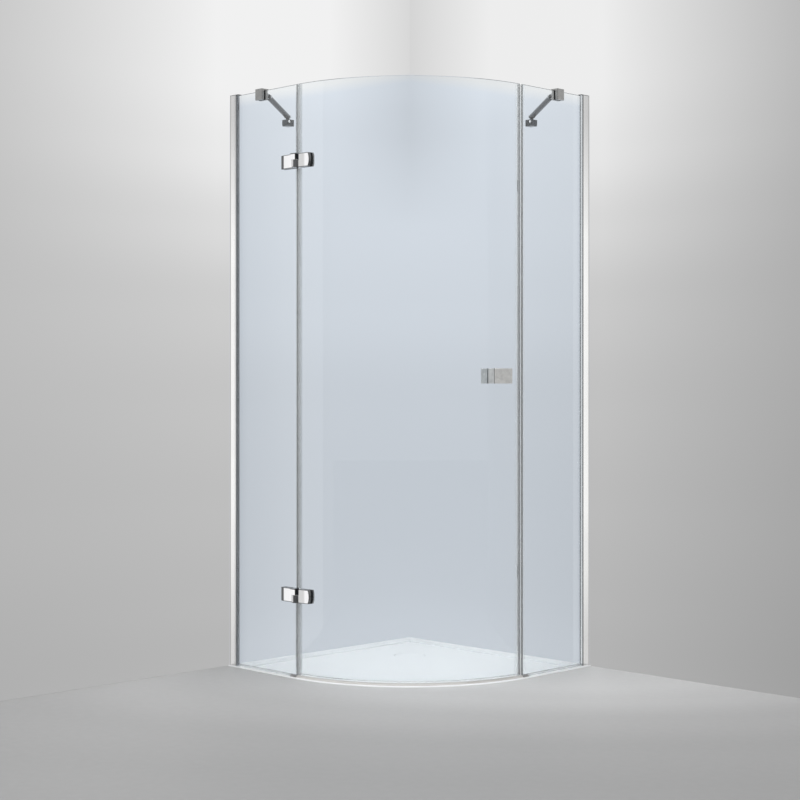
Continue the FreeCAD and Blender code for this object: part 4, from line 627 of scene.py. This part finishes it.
def trayLine(gap, steps=48):
    # the tray's outline, from the back left corner round to the back right one
    half = roomSizes["trayHalf"]
    radius = roomSizes["trayRound"] + gap
    centre = half - roomSizes["trayRound"]
    back = half + roomSizes["backOverlap"]
    points = [(-back, back), (-back, -half - gap)]
    for step in range(steps + 1):
        angle = math.radians(-90 + 90 * step / steps)
        points.append((centre + radius * math.cos(angle), -centre + radius * math.sin(angle)))
    points.append((half + gap, back))
    return points


def makeFloor():
    inner = trayLine(roomSizes["trayGap"])
    count = len(inner)
    reach = roomSizes["floorReach"]
    outer = []
    for x, y in inner:
        angle = math.atan2(y, x)
        outer.append((reach * math.cos(angle), reach * math.sin(angle)))
    z = roomSizes["floorTop"]
    rim = [(x, y, z) for x, y in inner]
    faces = [(i, (i + 1) % count, count + (i + 1) % count, count + i) for i in range(count)]
    floor = flatMesh("floor", rim + [(x, y, z) for x, y in outer],
                     [tuple(reversed(face)) for face in faces])
    # the cut edge of the floor, down round the tray
    low = [(x, y, roomSizes["cutDepth"]) for x, y in inner]
    return floor, flatMesh("floorEdge", rim + low, faces)


def makeWalls():
    left = roomSizes["wallLeft"]
    back = roomSizes["wallBack"]
    reach = roomSizes["reach"]
    height = roomSizes["height"]
    leftWall = flatMesh("leftWall", [(left, back, 0), (left, -reach, 0), (left, -reach, height),
                                     (left, back, height)], [(3, 2, 1, 0)])
    backWall = flatMesh("backWall", [(left, back, 0), (left, back, height), (reach, back, height),
                                     (reach, back, 0)], [(3, 2, 1, 0)])
    return leftWall, backWall


floor, floorEdge = makeFloor()
leftWall, backWall = makeWalls()

# painted light and shade on the walls: screen greys by height above the foot, up to top
wallTones = dict(
    near=((0.05, 182), (0.24, 185), (0.58, 190), (0.93, 196), (1.28, 205), (1.55, 219), (1.80, 234),
          (2.05, 241)),
    far=((0.05, 181), (0.58, 188), (1.28, 195), (2.05, 202)),
    inside=((0.03, 217), (0.24, 213), (0.58, 213), (0.93, 215), (1.28, 224), (1.60, 228), (1.9, 231),
            (2.15, 241)),
    glassShadeTint=(0.938, 0.961, 0.994), foot=0.03, top=2.4, matt=(212, 212, 212), roughness=0.9,
)

# where the tones change, along the wall from its corner, by height, and under the glass's top line
wallPlaces = dict(corner=0.45, outward=(0.95, 1.95), within=(0.885, 0.895), slope=0.235,
                  topLine=(2.16, 2.20), edge=(0.4, 0.86), dimTone=(0.78, 1.0), dimReach=(0.0, 0.42),
                  dimRise=(1.6, 2.05))

# axis is the one along the wall, sign the way it runs from the corner, and the rest are shares of
# painted light and shade
wallLooks = dict(
    left=dict(axis="Y", sign=-1, level=1.0, farShare=0.93, edgeShare=0.94, insideShare=1.02),
    back=dict(axis="X", sign=1, level=0.965, farShare=0.74, edgeShare=0.92, insideShare=1.06),
)


def rampOf(tree, value, stops, top, tint=(1, 1, 1)):
    ramp = addNode(tree, "ShaderNodeValToRGB")
    ramp.color_ramp.interpolation = "EASE"
    elements = ramp.color_ramp.elements
    for place, level in stops[1:-1]:
        elements.new(place / top)
    for element, (place, level) in zip(elements, stops):
        element.position = place / top
        element.color = (*tone(*(level * part for part in tint)), 1)
    plug(tree, reckon(tree, "DIVIDE", value, top), ramp.inputs["Fac"])
    return ramp.outputs["Color"]


def shaded(tree, colour, share):
    return mixColours(tree, 1.0, colour, (share, share, share), "MULTIPLY")


def wallColour(tree, look):
    where = partsOf(tree)
    height = reckon(tree, "SUBTRACT", where["Z"], wallTones["foot"])
    away = reckon(tree, "MULTIPLY_ADD", where[look["axis"]], look["sign"], wallPlaces["corner"])
    near = rampOf(tree, height, wallTones["near"], wallTones["top"])
    far = rampOf(tree, height, wallTones["far"], wallTones["top"])
    # painted shade: darker farther from the corner
    outward = spread(tree, away, 0, 1, *wallPlaces["outward"])
    wall = mixColours(tree, outward, near, far)
    wall = mixColours(tree, outward, wall, shaded(tree, wall, look["farShare"]))
    # the part that is seen through the glass: a painted bluish shade cast by the glass, painted light
    # from the tray low down, and painted shade towards its edge
    inside = rampOf(tree, height, wallTones["inside"], wallTones["top"], wallTones["glassShadeTint"])
    inside = shaded(tree, inside, look["insideShare"])
    inside = mixColours(tree, spread(tree, away, 0, 1, *wallPlaces["edge"]), inside,
                        shaded(tree, inside, look["edgeShare"]))
    topLine = reckon(tree, "MULTIPLY_ADD", away, wallPlaces["slope"], height)
    within = reckon(tree, "MULTIPLY", spread(tree, away, 1, 0, *wallPlaces["within"]),
                    spread(tree, topLine, 1, 0, *wallPlaces["topLine"]))
    wall = mixColours(tree, within, wall, inside)
    # painted shade, dimmer high up in the corner
    grey = addNode(tree, "ShaderNodeCombineXYZ")
    dim = spread(tree, away, *wallPlaces["dimTone"], *wallPlaces["dimReach"])
    for socket in grey.inputs:
        plug(tree, dim, socket)
    high = spread(tree, height, 0, 1, *wallPlaces["dimRise"])
    return mixColours(tree, high, wall, grey.outputs["Vector"], "MULTIPLY")


def wallPaint(name, look):
    # the eye, metal and glass see the wall with its painted light and shade, lamp light a plain matt
    # one; its back is open
    material, tree, shader, output = newMaterial(name)
    shown = addNode(tree, "ShaderNodeEmission")
    shown.inputs["Strength"].default_value = look["level"]
    plug(tree, wallColour(tree, look), shown.inputs["Color"])
    shader.inputs["Base Color"].default_value = (*tone(*wallTones["matt"]), 1)
    shader.inputs["Roughness"].default_value = wallTones["roughness"]
    path = addNode(tree, "ShaderNodeLightPath")
    seen = path.outputs["Is Camera Ray"]
    for ray in ("Is Glossy Ray", "Is Transmission Ray"):
        seen = reckon(tree, "MAXIMUM", seen, path.outputs[ray])
    front = addNode(tree, "ShaderNodeMixShader")
    plug(tree, seen, front.inputs[0])
    plug(tree, shader.outputs["BSDF"], front.inputs[1])
    plug(tree, shown.outputs["Emission"], front.inputs[2])
    clear = addNode(tree, "ShaderNodeBsdfTransparent")
    geometry = addNode(tree, "ShaderNodeNewGeometry")
    whole = addNode(tree, "ShaderNodeMixShader")
    plug(tree, geometry.outputs["Backfacing"], whole.inputs[0])
    plug(tree, front.outputs["Shader"], whole.inputs[1])
    plug(tree, clear.outputs["BSDF"], whole.inputs[2])
    plug(tree, whole.outputs["Shader"], output.inputs["Surface"])
    return material


leftWall.data.materials.append(wallPaint("leftWallPaint", wallLooks["left"]))
backWall.data.materials.append(wallPaint("backWallPaint", wallLooks["back"]))

# painted pool of light: screen greys by distance from a middle in front of the tray, along two turned
# directions, lighter near the tray
floorLook = dict(middle=(0.525, 0.325, 0), directions=(("X", (0.7071, -0.7071, 0)),
                                                       ("Y", (0.38, 0.38, 0))),
                 stops=((0.25, 206), (0.48, 196), (0.78, 179), (1.17, 167), (1.61, 160), (2.2, 154),
                        (3.0, 150), (3.9, 150)),
                 top=4.0, grain=35, speck=(0.5, 0.5, 0.52), speckShare=(0.0, 0.04),
                 roughness=(0.5, 0.6), specular=0.2)


def floorPaint(name, look):
    material, tree, shader, _ = newMaterial(name)
    where = partsOf(tree)
    flat = addNode(tree, "ShaderNodeCombineXYZ")
    plug(tree, where["X"], flat.inputs["X"])
    plug(tree, where["Y"], flat.inputs["Y"])
    shift = vectorStep(tree, "SUBTRACT", flat.outputs["Vector"], look["middle"])
    turned = addNode(tree, "ShaderNodeCombineXYZ")
    for socket, direction in look["directions"]:
        plug(tree, vectorStep(tree, "DOT_PRODUCT", shift, direction, "Value"), turned.inputs[socket])
    distance = vectorStep(tree, "LENGTH", turned.outputs["Vector"], result="Value")
    # painted pool of light, lighter near the tray
    colour = rampOf(tree, distance, look["stops"], look["top"])
    grain = noiseOn(tree, pieceSpace(tree), look["grain"], detail=4)
    speck = mixColours(tree, spread(tree, grain, *look["speckShare"]), colour, look["speck"])
    plug(tree, speck, shader.inputs["Base Color"])
    plug(tree, spread(tree, grain, *look["roughness"]), shader.inputs["Roughness"])
    shader.inputs["Specular IOR Level"].default_value = look["specular"]
    return material


floorFinish = floorPaint("floorPaint", floorLook)
floor.data.materials.append(floorFinish)
floorEdge.data.materials.append(floorFinish)

worldLook = dict(strength=0.82, low=(0.56, 0.56, 0.57), high=(1.0, 1.0, 1.0), rise=(-0.05, 0.55),
                 seen=(214, 215, 217))


def makeWorld():
    world = bpy.data.worlds.new("studio")
    bpy.context.scene.world = world
    world.use_nodes = True
    tree = world.node_tree
    tree.nodes.clear()
    output = addNode(tree, "ShaderNodeOutputWorld")
    soft = addNode(tree, "ShaderNodeBackground")
    soft.inputs["Strength"].default_value = worldLook["strength"]
    lift = spread(tree, partsOf(tree, "Generated")["Z"], 0, 1, *worldLook["rise"])
    plug(tree, mixColours(tree, lift, worldLook["low"], worldLook["high"]), soft.inputs["Color"])
    seen = addNode(tree, "ShaderNodeBackground")
    seen.inputs["Color"].default_value = (*tone(*worldLook["seen"]), 1)
    seen.inputs["Strength"].default_value = 1.0
    path = addNode(tree, "ShaderNodeLightPath")
    choose = addNode(tree, "ShaderNodeMixShader")
    plug(tree, path.outputs["Is Camera Ray"], choose.inputs[0])
    plug(tree, soft.outputs["Background"], choose.inputs[1])
    plug(tree, seen.outputs["Background"], choose.inputs[2])
    plug(tree, choose.outputs["Shader"], output.inputs["Surface"])


# spread, where one is given, narrows a lamp to an angle in degrees
lampLooks = {
    "topLight": dict(place=(0.9, -0.9, 3.6), target=(0, 0, 0.6), size=2.6, power=34),
    "frontLight": dict(place=(2.2, -3.6, 2.6), target=(0, 0, 1.0), size=2.2, power=34),
    "cabinLight": dict(place=(0, 0, 2.9), target=(0, 0.001, 0), size=0.9, power=2.2, spread=44),
}


def areaLight(name, look):
    data = bpy.data.lights.new(name, "AREA")
    data.shape = "DISK"
    data.size = look["size"]
    data.energy = look["power"]
    if "spread" in look:
        data.spread = math.radians(look["spread"])
    lamp = newObject(name, data)
    lamp.location = look["place"]
    toTarget = Vector(look["target"]) - Vector(look["place"])
    lamp.rotation_euler = toTarget.to_track_quat("-Z", "Y").to_euler()
    lamp.visible_glossy = False
    lamp.visible_transmission = False


makeWorld()
for lampName, lampLook in lampLooks.items():
    areaLight(lampName, lampLook)

cardSizes = dict(wall=0.4505, foot=0.03, top=2.3)


def glossCard(name, corners, axis, near, far):
    # a studio card that only shows in reflections; near and far are places and levels along its wall
    card = flatMesh(name, corners, [(0, 1, 2, 3)])
    material, tree, _, output = newMaterial(name)
    shown = addNode(tree, "ShaderNodeEmission")
    plug(tree, spread(tree, partsOf(tree)[axis], near[1], far[1], near[0], far[0]),
         shown.inputs["Strength"])
    plug(tree, shown.outputs["Emission"], output.inputs["Surface"])
    card.data.materials.append(material)
    card.visible_camera = False
    card.visible_diffuse = False
    card.visible_transmission = False
    card.visible_shadow = False
    card.visible_volume_scatter = False
    return card


def leftCard(name, start, end, near, far):
    wall = -cardSizes["wall"]
    foot = cardSizes["foot"]
    top = cardSizes["top"]
    return glossCard(name, [(wall, start, foot), (wall, end, foot), (wall, end, top),
                            (wall, start, top)], "Y", near, far)


def backCard(name, start, end, near, far):
    wall = cardSizes["wall"]
    foot = cardSizes["foot"]
    top = cardSizes["top"]
    return glossCard(name, [(start, wall, foot), (start, wall, top), (end, wall, top),
                            (end, wall, foot)], "X", near, far)


cards = (leftCard("wallProfileCard", -0.4415, -0.4675, (-0.442, 1.08), (-0.467, 1.2)),
         leftCard("glazingCard", -0.468, -0.50, (-0.468, 0.05), (-0.50, 0.4)),
         leftCard("hingeCard", -0.50, -1.5, (-0.50, 0.52), (-0.72, 1.05)),
         backCard("rightProfileCard", 0.4415, 0.50, (0.442, 1.02), (0.467, 1.1)))
print("room and lights made")

cameraLook = dict(place=(4.0526, -4.0526, 1.017), turn=45, sensor=36.0, lens=73.56, shiftX=-0.0121,
                  shiftY=-0.0206, farthest=60)
cameraData = bpy.data.cameras.new("camera")
cameraData.sensor_width = cameraLook["sensor"]
cameraData.lens = cameraLook["lens"]
cameraData.shift_x = cameraLook["shiftX"]
cameraData.shift_y = cameraLook["shiftY"]
cameraData.clip_end = cameraLook["farthest"]
camera = newObject("camera", cameraData)
camera.location = cameraLook["place"]
camera.rotation_euler = (math.radians(90), 0, math.radians(cameraLook["turn"]))
bpy.context.scene.camera = camera
bpy.context.scene.view_settings.view_transform = "Standard"
print("camera set")
